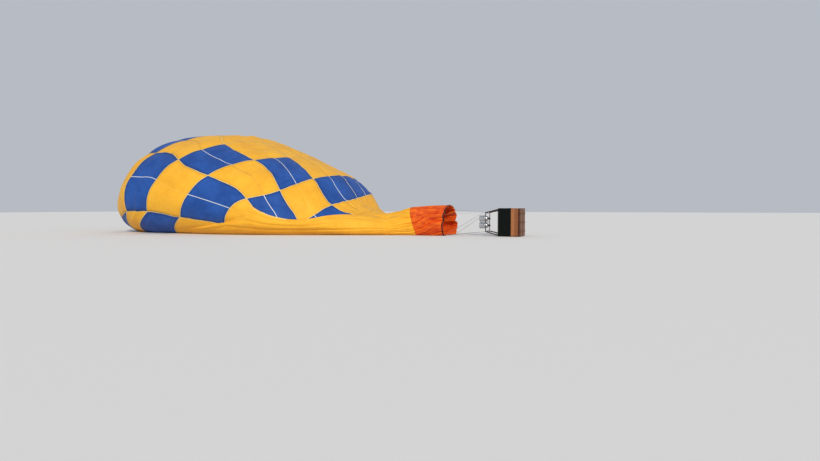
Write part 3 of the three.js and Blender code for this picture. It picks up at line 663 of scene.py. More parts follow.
# piece, colour, grid, the gores and the rows that it lies between, how it is held, the solids it stands for
clothPieces = [
    ("yellowNearLow", "yellow", upper, (0, 4), (0, 6), "draped", ["cloth_near_low"]),
    ("yellowNearHigh", "yellow", upper, (4, 8), (0, 6), "draped", ["cloth_near_high"]),
    ("yellowFarHigh", "yellow", upper, (8, 12), (0, 6), "draped", ["cloth_far_high"]),
    ("yellowFarLow", "yellow", upper, (12, 16), (0, 6), "draped", ["cloth_far_low"]),
    ("neckNear", "yellow", neckUpper, (0, 8), (6, 8), "draped", ["neck_near"]),
    ("neckFar", "yellow", neckUpper, (8, 16), (6, 8), "draped", ["neck_far"]),
    ("yellowUnderFar", "yellow", under, (16, 26), (0, 6), "laid", ["cloth_under_far"]),
    ("yellowUnderNear", "yellow", under, (26, 36), (0, 6), "laid", ["cloth_under_near"]),
    ("neckUnder", "yellow", under, (16, 36), (6, 8), "laid", ["neck_under"]),
    ("blueUnder", "blue", under, (16, 36), (0, 6), "laid", []),
    ("blueCrown", "blue", upper, (0, 16), (0, 2), "draped", ["blue_checks_crown"]),
    ("blueMiddle", "blue", upper, (0, 16), (2, 4), "draped", ["blue_checks_middle", "blue_checks_far"]),
    ("blueLower", "blue", upper, (0, 16), (4, 6), "draped", ["blue_checks_lower"]),
    ("orangeNear", "orange", mouthUpper, (0, 7), (7, 8), "draped", ["skirt_near"]),
    ("orangeFar", "orange", mouthUpper, (7, 16), (7, 8), "draped", ["skirt_far"]),
    ("orangeUnder", "orange", mouthUnder, (16, 36), (7, 8), "laid", ["skirt_under"]),
]
for part in clothPieces:
    clothPiece(*part)
print("envelope and mouth cloth made")

# slack cloth that lies in a roll along each foot of the bag, over the checks' lower ends
roll = {
    "from": 2.5, "to": 14.2, "rise": 1.4, "fade": 2.6, "steps": 240, "around": 50,
    "stand": 0.065, "belly": 0.07, "fold": 0.045, "valley": 0.05, "tuck": 0.03,
    "dive": 0.13, "diveLong": 0.9,   # how deep and how long the roll comes up out of the neck's folds
    "sides": {"slackRollNear": (1, 1), "slackRollFar": (-1, 4)},   # side of the bag and seed
    # distance from the mouth, height of the roll's upper edge on the near and on the far side, height of
    # the long crease, height above which the near roll sinks into the cloth
    "edge": [(2.4, 0.70, 0.6, 0.36, 0.8), (3.7, 0.95, 0.8, 0.38, 0.8), (4.8, 1.12, 1.0, 0.37, 0.8),
             (5.5, 1.13, 1.2, 0.36, 0.8), (6.0, 1.08, 1.3, 0.35, 0.8), (6.5, 0.96, 1.4, 0.34, 0.8),
             (7.0, 0.89, 1.5, 0.33, 0.8), (7.5, 0.91, 1.35, 0.33, 0.8), (8.0, 1.00, 1.15, 0.33, 0.8),
             (8.5, 1.14, 1.0, 0.35, 0.8), (9.0, 1.40, 0.9, 0.38, 0.78), (9.35, 1.66, 0.95, 0.41, 0.76),
             (9.65, 1.84, 1.0, 0.44, 0.74), (10.05, 1.70, 1.05, 0.48, 0.71), (10.45, 1.35, 1.1, 0.52, 0.68),
             (10.8, 1.00, 0.95, 0.56, 0.66), (11.15, 0.76, 0.8, 0.58, 0.63), (12.5, 0.60, 0.6, 0.34, 0.46),
             (14.2, 0.40, 0.4, 0.24, 0.30)],
    # height, distance from the mouth of the blue check's border that the near roll stays clear of
    "clearOf": [(0, 11.55), (0.17, 11.38), (0.56, 11.13), (1.05, 10.82), (1.53, 10.45), (1.88, 10.05),
                (2.07, 9.65)],
}
nearEdge, farEdge, creaseHeight, sinkHeight = curvesOf(roll["edge"])
clearOf = curvesOf(roll["clearOf"])[0]


def rollPoint(along, t, side, seed):
    # the section's wall from the ground (t 0) up to the edge (t 1), moved out by the stand, by a belly above
    # the long crease, by long folds |sin| that run with the crease and the edge, and in by the crease itself;
    # then tucked in behind the edge. It comes up out of the neck at one end and fades away at the other.
    start, end, high = roll["from"], roll["to"], bagHeight(along)
    waist = bag["waist"] * high
    edge = np.minimum(nearEdge(along) if side > 0 else farEdge(along), 0.9 * high)
    z = edge * np.clip(t, 0, 1)
    angle = np.arccos(np.where(z < waist, (z / waist - 1) / bag["base"], (z - waist) / (high - waist)))
    ends = smooth(start, start + roll["rise"], along) * (1 - smooth(end - roll["fade"], end, along))
    crease = np.minimum(creaseHeight(along), 0.7 * edge)
    up, down = np.clip((z - crease) / (edge - crease), 0, 1), np.clip(z / crease, 0, 1)
    u = 1.2 * down + 2.7 * up + 0.3 * np.sin(0.5 * along + seed) + 0.12 * np.sin(1.3 * along + 2 * seed)
    folds = np.abs(np.sin(pi * u)) ** 0.85 + 0.4 * np.abs(np.sin(pi * (2.3 * u + 0.25 * along))) - 0.35
    small = 0.25 * ripples(0.35 * along, 2.5 * t, 20 + seed, 7, 1.8, 0.5)
    out = roll["stand"] + roll["belly"] * np.sin(pi * up)
    out = out + roll["fold"] * (folds + small) * smooth(0.0, 0.10, t)
    out = out - roll["valley"] * np.exp(-((z - crease) / 0.045) ** 2)
    out = out * ends * (1 - smooth(0.97, 1.10, t)) - roll["tuck"] * smooth(0.99, 1.10, t)
    if side > 0:
        sunk = smooth(-1.5, -0.15, along - clearOf(z)) * smooth(0.85, 1.25, z / sinkHeight(along))
        out = out * (1 - sunk) - roll["tuck"] * sunk
    begins = 1 - smooth(start, start + roll["diveLong"], along)
    return sectionPoint(along, side * angle), out - 0.012 * (1 - ends) - roll["dive"] * begins


def rollSurface(a, t, side, seed):
    # points of the roll, moved out along the cross product of the wall's slopes
    bare, out = rollPoint(a, t, side, seed)
    before, after = rollPoint(a - 0.03, t, side, seed)[0], rollPoint(a + 0.03, t, side, seed)[0]
    low = rollPoint(a, np.clip(t - 0.03, 0, 0.94), side, seed)[0]
    up = rollPoint(a, np.clip(t + 0.03, 0.06, 1), side, seed)[0]
    normal = unit(np.cross(up - low, after - before)) * side
    normal[..., 2] = np.maximum(normal[..., 2], -0.35)
    points = bare + out[..., None] * normal
    points[..., 2] = np.maximum(points[..., 2], offGround)
    return points + mouthAt, normal


def rollPiece(name, side, seed):
    along, share = np.linspace(roll["from"], roll["to"], roll["steps"]), np.linspace(0, 1.1, roll["around"])
    a, t = np.meshgrid(along, share, indexing="ij")
    points, faces = rollSurface(a, t, side, seed)[0].reshape(-1, 3), gridFaces(*a.shape)[:, ::side]
    long = roll["to"] - roll["from"]
    piece = addPiece(name, (points, faces), "looseCloth",
                     uv=np.stack([a, t], -1).reshape(-1, 2) * (0.05, 0.3), thick=cloth["thick"])
    round(areaOf(points, faces) / long, 2)


for name, (side, seed) in roll["sides"].items():
    rollPiece(name, side, seed)
print("slack rolls made")

# sewn tapes along each gore line and round each row. White where a tape crosses blue, cream on the
# checks' borders, and nearly the cloth's colour in the middle of a yellow check
tapes = {
    "width": 0.036, "edgeWidth": 0.07, "thick": 0.003, "lift": 0.005,
    "start": 0.004, "farStart": 0.03, "farFrom": 11,   # row where a gore's tape starts, and that past gore 11
    "crownEdge": 0.008, "mouthEdge": 7.985,            # rows of the two edge tapes
    "lip": (7.65, 9.4), "lipAt": 0.965,                # seam on the near roll: distances, share of its height
}


def tapeOn(points, normals, width=tapes["width"]):
    return ribbonAlong(points, normals, width, tapes["thick"], tapes["lift"])


def tapeAlong(gores, rows, width=tapes["width"]):
    # band on the bag's surface; where the bag lies on the ground it is turned up into the bag
    gores, rows = np.broadcast_arrays(gores, rows)
    points, faces = tapeOn(bagPoint(gores, rows), normalOn(bagPoint, gores, rows, 0.03, 0.012), width)
    points[:, 2] = np.abs(points[:, 2] - 0.002) + 0.002
    return points, faces


def sewnTapes():
    bands = {"white": [], "faint": [], "cream": []}
    for gore in range(bag["farFoot"] + 1):
        for row in range(bag["lastCheck"]):
            left, right = blueAt(np.array([gore - 0.5, gore + 0.5]), np.array([row + 0.5] * 2))
            colour = "white" if left and right else "cream" if left or right or gore % 2 else "faint"
            start = max(row, tapes["farStart"] if gore > tapes["farFrom"] else tapes["start"])
            rows = np.linspace(start, row + 1, int((row + 1 - start) * cloth["perRow"]) + 1)
            bands[colour].append(tapeAlong(float(gore), rows))
    bands["cream"] += [tapeAlong(upperGores, float(row)) for row in range(1, bag["lastCheck"])]
    # the seam that the near roll's edge follows below the crossing of two checks
    lip = np.linspace(*tapes["lip"], 60), np.full(60, tapes["lipAt"])
    bands["cream"].append(tapeOn(*rollSurface(*lip, *roll["sides"]["slackRollNear"])))
    for colour, shapes in bands.items():
        addPiece(f"{colour}Tapes", joined(shapes), f"{colour}Tape", flat=True)
    edges = [tapeAlong(np.concatenate([gores[:-1], underGores[:-1]]), row, tapes["edgeWidth"])
             for gores, row in ((neckGores, tapes["mouthEdge"]), (upperGores, tapes["crownEdge"]))]
    addPiece("edgeTapes", joined(edges), "darkTape", flat=True)


sewnTapes()
print("tapes made")

# crown: vent panel that slides inwards, and the tapes that hold it
crown = {
    "at": 21.75, "radiusY": 2.5, "radiusZ": 1.82, "z": 1.88, "bulge": 0.12, "puff": 0.035, "rumple": 0.012,
    "around": 240, "rings": 40, "thick": 0.006, "flat": (5.0, 3.64),
    "seams": 24, "seam": (0.03, 0.003, 0.004),    # count; width, thickness and lift of each
    "tapes": 12, "tape": (0.045, 0.004, -0.002),
    "out": 0.014, "hubZ": 1.9, "hubRadius": 0.24, "rope": 0.016, "patch": rod(-0.004, 0.004, 0.15),
}
crownTurn = float(np.interp(bagLong, spineAlong, spineTurn))
crownAxis = np.array([-cos(crownTurn), sin(crownTurn), 0.0])   # out of the bag
crownSide = np.array([-sin(crownTurn), -cos(crownTurn), 0.0])


def spinePoint(along, z):
    return np.array([np.interp(along, spineAlong, spineX), np.interp(along, spineAlong, spineY), z]) + mouthAt


def ventPoint(r, a):
    # oval disc: bulge (1 - r^2) outwards, with a hump between each pair of seams that grows to the rim
    puff = crown["puff"] * r ** 1.5 * np.abs(np.sin(crown["seams"] / 2 * a))
    rumple = crown["rumple"] * r ** 2 * np.sin(9 * a + 4 * r)
    depth = crown["bulge"] * (1 - r ** 2) + puff + rumple - 0.005
    across, up = crown["radiusY"] * r * np.sin(a), crown["radiusZ"] * r * np.cos(a)
    return (spinePoint(crown["at"], crown["z"]) + depth[..., None] * crownAxis
            + across[..., None] * crownSide + up[..., None] * zAxis)


def ventPanel():
    around = crown["around"]
    a, r = np.meshgrid(turnSteps(around), np.linspace(0.02, 0.99, crown["rings"]))
    points, faces = ventPoint(r, a).reshape(-1, 3), gridFaces(crown["rings"], around, False, True)
    shape = points, faces.tolist() + [[*range(around - 1, -1, -1)]]
    piece = addPiece("ventCloth", shape, "looseCloth", ["vent_panel"], "vent",
                     thick=crown["thick"])
    r = np.linspace(0.05, 0.98, 24)
    seams = [ribbonAlong(ventPoint(r, np.full(24, a)), np.tile(crownAxis, (24, 1)), *crown["seam"])
             for a in turnSteps(crown["seams"])]
    seamPiece = addPiece("ventTapes", joined(seams), "creamTape", body="vent", flat=True)
    round(areaOf(points, faces), 2)


def crownTapes():
    # flat tapes from the hub ring to the crown's edge, and the hub's rope ring and centre patch
    top = spinePoint(bagLong, crown["hubZ"]) + crown["out"] * crownAxis
    shapes = []
    for gore in np.linspace(0, bag["gores"], crown["tapes"], endpoint=False):
        end = barePoint(np.array([gore]), np.array([0.0]))[0][0] + mouthAt + crown["out"] * crownAxis
        end[2] = max(end[2], 0.026)
        path = top + (end - top) * np.linspace(0.05, 1.0, 12)[:, None]
        shapes.append(ribbonAlong(path, np.tile(crownAxis, (12, 1)), *crown["tape"]))
    ring = oval(top, crown["hubRadius"] * crownSide, crown["hubRadius"] * zAxis, 48)
    shapes.append(tubeAlong(ring, crown["rope"], 10, True, up=crownAxis))
    shapes.append(turned(crown["patch"], top, crownAxis, 32))
    addPiece("crownLines", joined(shapes), "darkTape", ["crown_tapes"])


ventPanel()
crownTapes()
print("crown made")

# basket, lying on a short side, with its open end towards the mouth
basket = {
    "rimX": 3.0, "depth": 1.15, "halfY": 0.62, "halfZ": 0.75, "axisZ": 0.77, "corner": 0.06,
    "stakes": 84, "weavers": 56, "weaveHeight": 0.006, "weaveIn": 0.0085, "liningIn": 0.0385,
    "padIn": 0.021, "padCorner": 0.075, "padRadius": 0.036, "padPuff": 0.0022, "laces": 48, "lace": 0.0022,
    "stitchRows": (0.672, 0.818, 1.052), "stitch": 0.0016,   # from the rim
    "boards": 8, "boardWide": 0.155, "boardThick": 0.0295, "groove": 0.006,
    "runners": (-0.48, 0.0, 0.48), "runner": (0.0335, 1.16, 0.07), "runnerGap": 0.0005,
    "wicker": (0.25, 0.090, 0.034), "coverRound": 5.4,   # colour of the willow, flat length of the cover
}
basketAt = mouthAt + basket["axisZ"] * zAxis
rimX, floorX = basket["rimX"], basket["rimX"] + basket["depth"]
# bands round it: from and to, how far out, thickness, height of the wrinkles, seed, hump from edge to edge,
# points round it and across it
bands = {
    "rimCover": dict(x=(rimX - 0.045, rimX + 0.655), out=0.009, thick=0.005, wave=0.010, seed=3,
                     around=260, deep=24),
    "leatherBand": dict(x=(rimX + 0.66, rimX + 0.83), out=0.006, thick=0.006, wave=0.0015, seed=5,
                        puff=0.003),
    "leatherFoot": dict(x=(floorX - 0.11, floorX + 0.004), out=0.008, thick=0.007, wave=0.0015, seed=8,
                        puff=0.002),
}


def wickerMaterial():
    # willow: the piece's own map counts stakes along U and rows of weaving along V. A rod gets painted light
    # where it passes over a stake and painted shade where it dives under one and towards its edges. Each row
    # has its own tone.
    shader, place = startMaterial("wicker")
    across, row = place.ownMap()
    number = row.maths("FLOOR", row)
    # painted light and shade: a rod is lighter where it passes over a stake and darker where it dives under
    # one
    over = 0.5 + 0.5 * (1 - 2 * number.maths("MODULO", number, 2.0)) * across.maths("SINE", across * pi)
    # painted shade towards each rod's edges
    middle = row.maths("ABSOLUTE", row.maths("SINE", row * pi))
    grain = place.noise(0.03, 4.0)
    light = (0.55 * over + 0.30 * middle + 0.30 * number.tone() + 0.25 * grain).between(0.15, 1.15)
    colour = light.colours(rgb(basket["wicker"], 0.18), rgb(basket["wicker"], 1.75))
    connect(shader, {"Base Color": colour, "Roughness": 0.62 + 0.2 * grain, "Specular IOR Level": 0.3,
                     "Normal": bump(grain, 0.4, 0.002)})


def plankMaterial():
    # boards side by side along Y, counted by their distance from the first one's edge, each with its own tone
    shader, place = startMaterial("planks")
    first = float(basketAt[1]) - basket["halfY"]
    board = place.maths("FLOOR", (place.part(1) - first) / basket["boardWide"])
    grain = place.noise(0.014, 4.0, (1, 1, 22))
    colour = (0.6 * grain + 0.4 * board.tone()).between(0.2, 0.8).colours(rgb(wood, 0.55), rgb(wood, 1.7))
    connect(shader, {"Base Color": colour, "Roughness": 0.5 + 0.15 * grain, "Specular IOR Level": 0.3,
                     "Normal": bump(grain, 0.35, 0.001)})


def roundedLoop(x, halfY, halfZ, corner, count):
    # rounded rectangle across the basket's axis, its points at equal distances: quarter circles of the
    # corner's radius, joined by straight sides
    turn = pi / 2 * (np.arange(4)[:, None] + np.linspace(0, 1, 9))
    middles = np.array([(1, 1), (-1, 1), (-1, -1), (1, -1)]) * (halfY - corner, halfZ - corner)
    arcs = middles[:, None] + corner * np.stack([np.cos(turn), np.sin(turn)], -1)
    loop = np.vstack([arcs.reshape(-1, 2), arcs[0, :1]])
    run = np.concatenate([[0], np.cumsum(np.linalg.norm(np.diff(loop, axis=0), axis=1))])
    y, z = [np.interp(np.linspace(0, run[-1], count, endpoint=False), run, side) for side in loop.T]
    return basketAt + np.stack([np.full(count, x), y, z], -1)


def basketLoop(x, out, count, corner=basket["corner"]):
    return roundedLoop(x, basket["halfY"] + out, basket["halfZ"] + out, corner, count)


def skinRound(out, count, height, x):
    # skin round the basket: a loop grown outwards, each of its points moved out by its height and each row
    # moved along by its x
    ring = basketLoop(0.0, out, count)
    outward = unit(np.cross(ring - np.roll(ring, 1, 0), xAxis))
    return ring + height[..., None] * outward + x[:, None, None] * xAxis


def weave(name, stakes, weavers, perRod, height, out, stands=()):
    # wall round a rounded rectangle: out = height (0.45 sin(pi stake), its sign changing from one row of
    # weaving to the next, + 0.9) times the round back of each rod |sin(pi row)|
    around, deep = stakes * perRod, weavers * perRod + 1
    u, v = np.arange(around) / perRod, np.linspace(0, weavers, deep)
    over = np.sin(pi * u) * np.where(np.floor(v).astype(int) % 2, 1, -1)[:, None]
    back = np.abs(np.sin(pi * v))[:, None] ** 0.6
    x0, x1 = rimX + 0.004, floorX - 0.032
    points = skinRound(out, around, height * (0.45 * over + 0.9) * back, x0 + v / weavers * (x1 - x0))
    place = np.stack(np.broadcast_arrays(u[None], v[:, None]), -1)
    faces = gridFaces(deep, around, False, True)[:, ::1 if height > 0 else -1]
    addPiece(name, (points.reshape(-1, 3), faces), "wicker", stands, uv=place.reshape(-1, 2))


def wickerWalls():
    # woven skins on both faces of the wall
    walls = [f"basket_wall_{side}" for side in ("near", "far", "lower", "upper")]
    high, stakes, rows = basket["weaveHeight"], basket["stakes"], basket["weavers"]
    weave("wickerWalls", stakes, rows, 4, high, -basket["weaveIn"], walls)
    weave("wickerLining", stakes - 6, rows // 2, 3, -high, -basket["liningIn"])


def bandRound(name, look, node):
    # skin round the basket, with wave (|sin| wrinkles along it + ripples) and a sine hump from edge to edge
    band = {"around": 240, "deep": 14, "puff": 0.0, **bands[name]}
    run, v = turnSteps(band["around"]), np.linspace(0, 1, band["deep"])[:, None]
    wrinkles = np.abs(np.sin(run * 14 + band["seed"] + 1.5 * np.sin(3 * v)))
    height = band["wave"] * (0.6 * wrinkles + 0.5 * ripples(run * 1.1, v * 0.65, band["seed"], 6, 0.9, 0.2))
    height = height * np.sin(pi * v) ** 0.4 + band["puff"] * np.sin(pi * v)
    x = np.linspace(*band["x"], band["deep"])
    points = skinRound(band["out"], band["around"], height, x).reshape(-1, 3)
    points[:, 2] = np.maximum(points[:, 2], 0.002)
    faces = gridFaces(band["deep"], band["around"], False, True)
    piece = addPiece(name, (points, faces), look, [node], thick=band["thick"])
    return piece, areaOf(points, faces)


def basketBands():
    cover, area = bandRound("rimCover", "coverCloth", "rim_cover")
    bandRound("leatherBand", "tanLeather", "leather_band")
    bandRound("leatherFoot", "brownLeather", "leather_foot")


def rimPad():
    # padded leather roll round the open end: a circle carried round the loop, a little fuller between lacings
    count, laces = 360, basket["laces"]
    loop = basketLoop(rimX - 0.035, -basket["padIn"], count, basket["padCorner"])
    fat = basket["padRadius"] + basket["padPuff"] * np.abs(np.sin(turnSteps(count) * laces / 2))
    pad = tubeAlong(loop, fat, 18, True, up=xAxis)
    piece = addPiece("rimPad", pad, "darkLeather", ["basket_rim"])
    rings, radius = [], basket["padRadius"] + 0.0025
    for i in ((np.arange(laces) + 0.5) * count / laces).astype(int):
        ahead = unit(loop[(i + 1) % count] - loop[i - 1])
        ring = oval(loop[i], radius * np.cross(ahead, xAxis), radius * xAxis + 0.010 * ahead, 20)
        rings.append(tubeAlong(ring, basket["lace"], 6, True, up=ahead))
    addPiece("rimLaces", joined(rings), "tanLeather")


def stitches():
    # short stitches along the edges of the leather bands
    lines = []
    for x in basket["stitchRows"]:
        loop = basketLoop(rimX + x, 0.0105, 260)
        lines += [tubeAlong(loop[[i, i + 1]], basket["stitch"], 6, up=xAxis) for i in range(0, 258, 2)]
    addPiece("leatherStitches", joined(lines), "creamTape")


def basketFloor():
    # boards with narrow grooves between them, and three runners with rounded edges
    wide, thick, runner = basket["boardWide"], basket["boardThick"], basket["runner"]
    boards = [block(basketAt + (floorX - thick / 2, (k + 0.5) * wide - basket["halfY"], 0),
                    (thick, wide - basket["groove"], 2 * basket["halfZ"])) for k in range(basket["boards"])]
    addPiece("floorBoards", joined(boards), "planks", ["basket_floor"], bevel=0.004, flat=True)
    for number, z in enumerate(basket["runners"], 1):
        shape = block(basketAt + (floorX + basket["runnerGap"] + runner[0] / 2, 0, z), runner)
        addPiece(f"runner{number}", shape, "runnerWood", [f"skid_{number}"], bevel=0.008, flat=True)


wickerMaterial()
plankMaterial()
wickerWalls()
basketBands()
rimPad()
stitches()
basketFloor()
print("basket made")

# the four corners of basket and frame, with their sides in Y and Z
corners = {"near_low": (-1, -1), "far_low": (1, -1), "near_high": (-1, 1), "far_high": (1, 1)}


def atCorner(corner, x, y, z):
    # place at x on the basket's axis, and y and z out towards one of the four corners
    sideY, sideZ = corners[corner]
    return basketAt + (x, sideY * y, sideZ * z)


def titled(corner):
    return corner.title().replace("_", "")


cylinder = {
    "radius": 0.15, "long": 0.62, "inset": 0.198, "endGap": 0.036,
    "straps": (0.16, 0.40), "strap": (0.035, 0.003, 0.0005),   # places; width, thickness and lift
    "buckle": (0.048, 0.012, 0.044),
    # profiles of (distance from the upper end, radius), the arm's from the valve's middle
    "collar": [(0.010, 0.098), (-0.052, 0.098), (-0.055, 0.095), (-0.052, 0.092), (0.010, 0.092)],
    "valve": [(-0.010, 0), (-0.010, 0.017), (-0.034, 0.017), (-0.036, 0.011), (-0.046, 0.011),
              (-0.047, 0.026), (-0.060, 0.026), (-0.061, 0)],
    "arm": [(0, 0), (0, 0.008), (0.05, 0.008), (0.051, 0.012), (0.066, 0.012), (0.067, 0)],
}


def cylinderProfile():
    # flat base, foot ring of a quarter circle, straight side, domed shoulder and neck
    r, long, a = cylinder["radius"], cylinder["long"], np.linspace(0, pi / 2, 9)
    base = [(0, 0), (0, 0.80 * r), (-0.012, 0.84 * r), (-0.018, 0.84 * r)]
    foot = [(-0.018 - 0.045 * sin(t), 0.86 * r + 0.14 * r * sin(t)) for t in a]
    shoulder = [(-(long - 0.085) - 0.075 * sin(t), r * (0.42 + 0.58 * cos(t))) for t in a]
    neck = [(0.004, 0.40 * r), (0.002, 0.20 * r), (-0.012, 0.18 * r), (-0.015, 0)]
    return base + foot + shoulder + shifted(neck, -long)


def fuelCylinder(number, corner):
    long, r, (sideY, sideZ) = cylinder["long"], cylinder["radius"] + 0.001, corners[corner]
    inset = cylinder["inset"]
    at = atCorner(corner, floorX - cylinder["endGap"], basket["halfY"] - inset, basket["halfZ"] - inset)
    top = at - long * xAxis
    body = [turned(cylinderProfile(), at, xAxis, 40), turned(cylinder["collar"], top, xAxis, 40)]
    addPiece(f"fuelCylinder{number}", joined(body), "aluminium", [f"fuel_cylinder_{number}"])
    valve = [turned(cylinder["valve"], top, xAxis, 20),
             turned(cylinder["arm"], top - 0.026 * xAxis, (0, -0.6 * sideY, -0.8 * sideZ), 12)]
    addPiece(f"cylinderValve{number}", joined(valve), "brass")
    straps = []
    for x in cylinder["straps"]:
        ring = oval(at - x * xAxis, r * yAxis, r * zAxis, 60)
        straps.append(ribbonAlong(ring, oval(0, yAxis, zAxis, 60), *cylinder["strap"], True))
        straps.append(block(at + (-x, -sideY * r, 0), cylinder["buckle"]))
    addPiece(f"cylinderStraps{number}", joined(straps), "darkLeather")


for number, corner in enumerate(corners, 1):
    fuelCylinder(number, corner)
print("cylinders made")

# burner frame on four uprights, and the gimbal ring inside it
stay = {
    "frameX": 2.2, "halfLong": 0.56, "halfShort": 0.45, "tube": 0.02, "cornerIn": 0.032,
    "corner": 0.055, "eye": [rod(0.010, 0.036, 0.031), rod(-0.024, -0.012, 0.026)],
    "bearing": sleeve(-0.0255, 0.0255, 0.0205, 0.030),
    "ringIn": 0.065, "ringTube": 0.015, "ringCorner": 0.04,
    "ringBearing": sleeve(-0.018, 0.018, 0.0152, 0.021),
    "pin": 0.0115, "pinFrom": -0.006, "pinTo": 0.055,   # radius, and from the ring's outer side
    "footIn": 0.055, "padRadius": 0.0285, "padPuff": 0.0032,
    "straps": (0.25, 0.5, 0.75), "strap": sleeve(-0.011, 0.011, 0.029, 0.0315),
}
frameAt = basketAt + stay["frameX"] * xAxis
frameCorner = stay["halfShort"] - stay["cornerIn"], stay["halfLong"] - stay["cornerIn"]
ringShort, ringLong = stay["halfShort"] - stay["ringIn"], stay["halfLong"] - stay["ringIn"]


def burnerFrame():
    # round tube carried round the frame's centre line, with a sleeve and an eye plate at each corner
    long, tube = stay["halfLong"] - stay["tube"], stay["tube"]
    loop = roundedLoop(stay["frameX"], stay["halfShort"] - tube, long, stay["corner"], 200)
    shapes = [tubeAlong(loop, tube - 0.0005, 20, True, up=xAxis)]
    for corner in corners:
        at = atCorner(corner, stay["frameX"], *frameCorner)
        shapes += [turned(profile, at, xAxis, 24) for profile in stay["eye"]]
    shapes += [turned(stay["bearing"], frameAt + s * long * zAxis, yAxis, 24) for s in (-1, 1)]
    addPiece("burnerFrame", joined(shapes), "darkPaint", ["burner_frame"])


def gimbalRing():
    # round tube with a pin out to the frame at each end and a bearing for the burners on each side
    tube, inner, outer = stay["ringTube"], ringLong + stay["pinFrom"], ringLong + stay["pinTo"]
    loop = roundedLoop(stay["frameX"], ringShort - tube, ringLong - tube, stay["ringCorner"], 180)
    shapes = [tubeAlong(loop, tube - 0.0005, 18, True, up=xAxis)]
    for s in (-1, 1):
        shapes.append(turned(rod(s * inner, s * outer, stay["pin"]), frameAt, zAxis, 20))
        shapes.append(turned(stay["ringBearing"], frameAt + s * (ringShort - tube) * yAxis, zAxis, 20))
    addPiece("gimbalRing", joined(shapes), "steel", ["gimbal_ring"], "gimbal")


def upright(corner):
    # padded sleeve on a straight rod, fuller between its three straps, closed at both ends
    inset, share = stay["footIn"], np.linspace(0, 1, 60)
    foot = atCorner(corner, rimX - 0.084, basket["halfY"] - inset, basket["halfZ"] - inset)
    top = atCorner(corner, stay["frameX"] + 0.034, *frameCorner)
    axis, long = unit(top - foot), float(np.linalg.norm(top - foot))
    fat = stay["padRadius"] + stay["padPuff"] * np.abs(np.sin(pi * 4 * share)) ** 0.6
    profile = [(0, 0), *zip(share * long, fat), (long, 0)]
    pad = turned(profile, foot, axis, 24)
    piece = addPiece("upright" + titled(corner), pad, "darkLeather", ["upright_" + corner])
    straps = [turned(shifted(stay["strap"], at * long), foot, axis, 24) for at in stay["straps"]]
    addPiece("uprightStraps" + titled(corner), joined(straps), "tanLeather")


burnerFrame()
gimbalRing()
for corner in ("near_low", "near_high", "far_low", "far_high"):
    upright(corner)
print("burner frame made")

burner = {
    "apart": 0.19, "out": 0.0123, "bar": (0.024, 0.14, 0.66), "arm": (0.023, 2 * (ringShort - 0.045), 0.044),
    "pin": (ringShort - 0.062, ringShort - 0.006),
    # radii and distances from the bar of the coil's two ends and of the pilot's, turns, tube
    "coil": ((0.118, 0.146), (-0.075, -0.385), 6.5), "coilTube": 0.0075,
    "pilot": ((0.085, 0.085), (-0.10, -0.055), 1.6), "pilotTube": 0.004,
    "jets": 12, "jetRing": 0.085, "jetX": -0.05, "jetTube": 0.007,
    # profiles of (distance, radius): the can's goes up its outside and comes down its inside
    "can": [(0, 0), (0, 0.118), (-0.004, 0.120), (-0.060, 0.150), (-0.090, 0.170), (-0.096, 0.172),
            (-0.405, 0.172), (-0.412, 0.1745), (-0.424, 0.1745), (-0.430, 0.171), (-0.430, 0.166),
            (-0.424, 0.1635), (-0.098, 0.1635), (-0.064, 0.142), (-0.020, 0.112), (-0.016, 0.108),
            (-0.016, 0)],
    "nozzle": [(-0.005, 0), (-0.005, 0.006), (-0.027, 0.005), (-0.027, 0)],
    "valve": [(0, 0), (0, 0.058), (0.006, 0.060), (0.084, 0.060), (0.090, 0.056), (0.092, 0.040),
              (0.140, 0.038), (0.148, 0.034), (0.150, 0)],
    "lever": [(0, 0), (0, 0.007), (0.16, 0.006), (0.162, 0)],
    "grip": [(0, 0), (0, 0.011), (0.10, 0.012), (0.105, 0)],
    "gauge": [(0, 0), (0, 0.008), (0.03, 0.008), (0.03, 0.027), (0.05, 0.027), (0.052, 0.024), (0.052, 0)],
    "inlet": [(0, 0), (0, 0.010), (0.035, 0.010), (0.04, 0.014), (0.06, 0.014), (0.062, 0)],
    "leverTurn": (0.25, -0.97, 0),
}


def helix(centre, radii, x, turns, phase=0.0, count=300):
    # circle of changing radius carried along X: angle = 2 pi turns share + phase
    a = np.linspace(0, 2 * pi * turns, count) + phase
    r = np.linspace(*radii, count)
    return centre + np.stack([np.linspace(*x, count), r * np.cos(a), r * np.sin(a)], -1)


def burnerBar():
    bars = [block(frameAt, burner["bar"]), block(frameAt, burner["arm"])]
    addPiece("burnerBlock", joined(bars), "steel", ["burner_bar"], "burner", bevel=0.004, flat=True)
    inner, outer = burner["pin"]
    pins = [turned(rod(s * inner, s * outer, stay["pin"]), frameAt, yAxis, 20) for s in (-1, 1)]
    addPiece("burnerPins", joined(pins), "steel", body="burner")


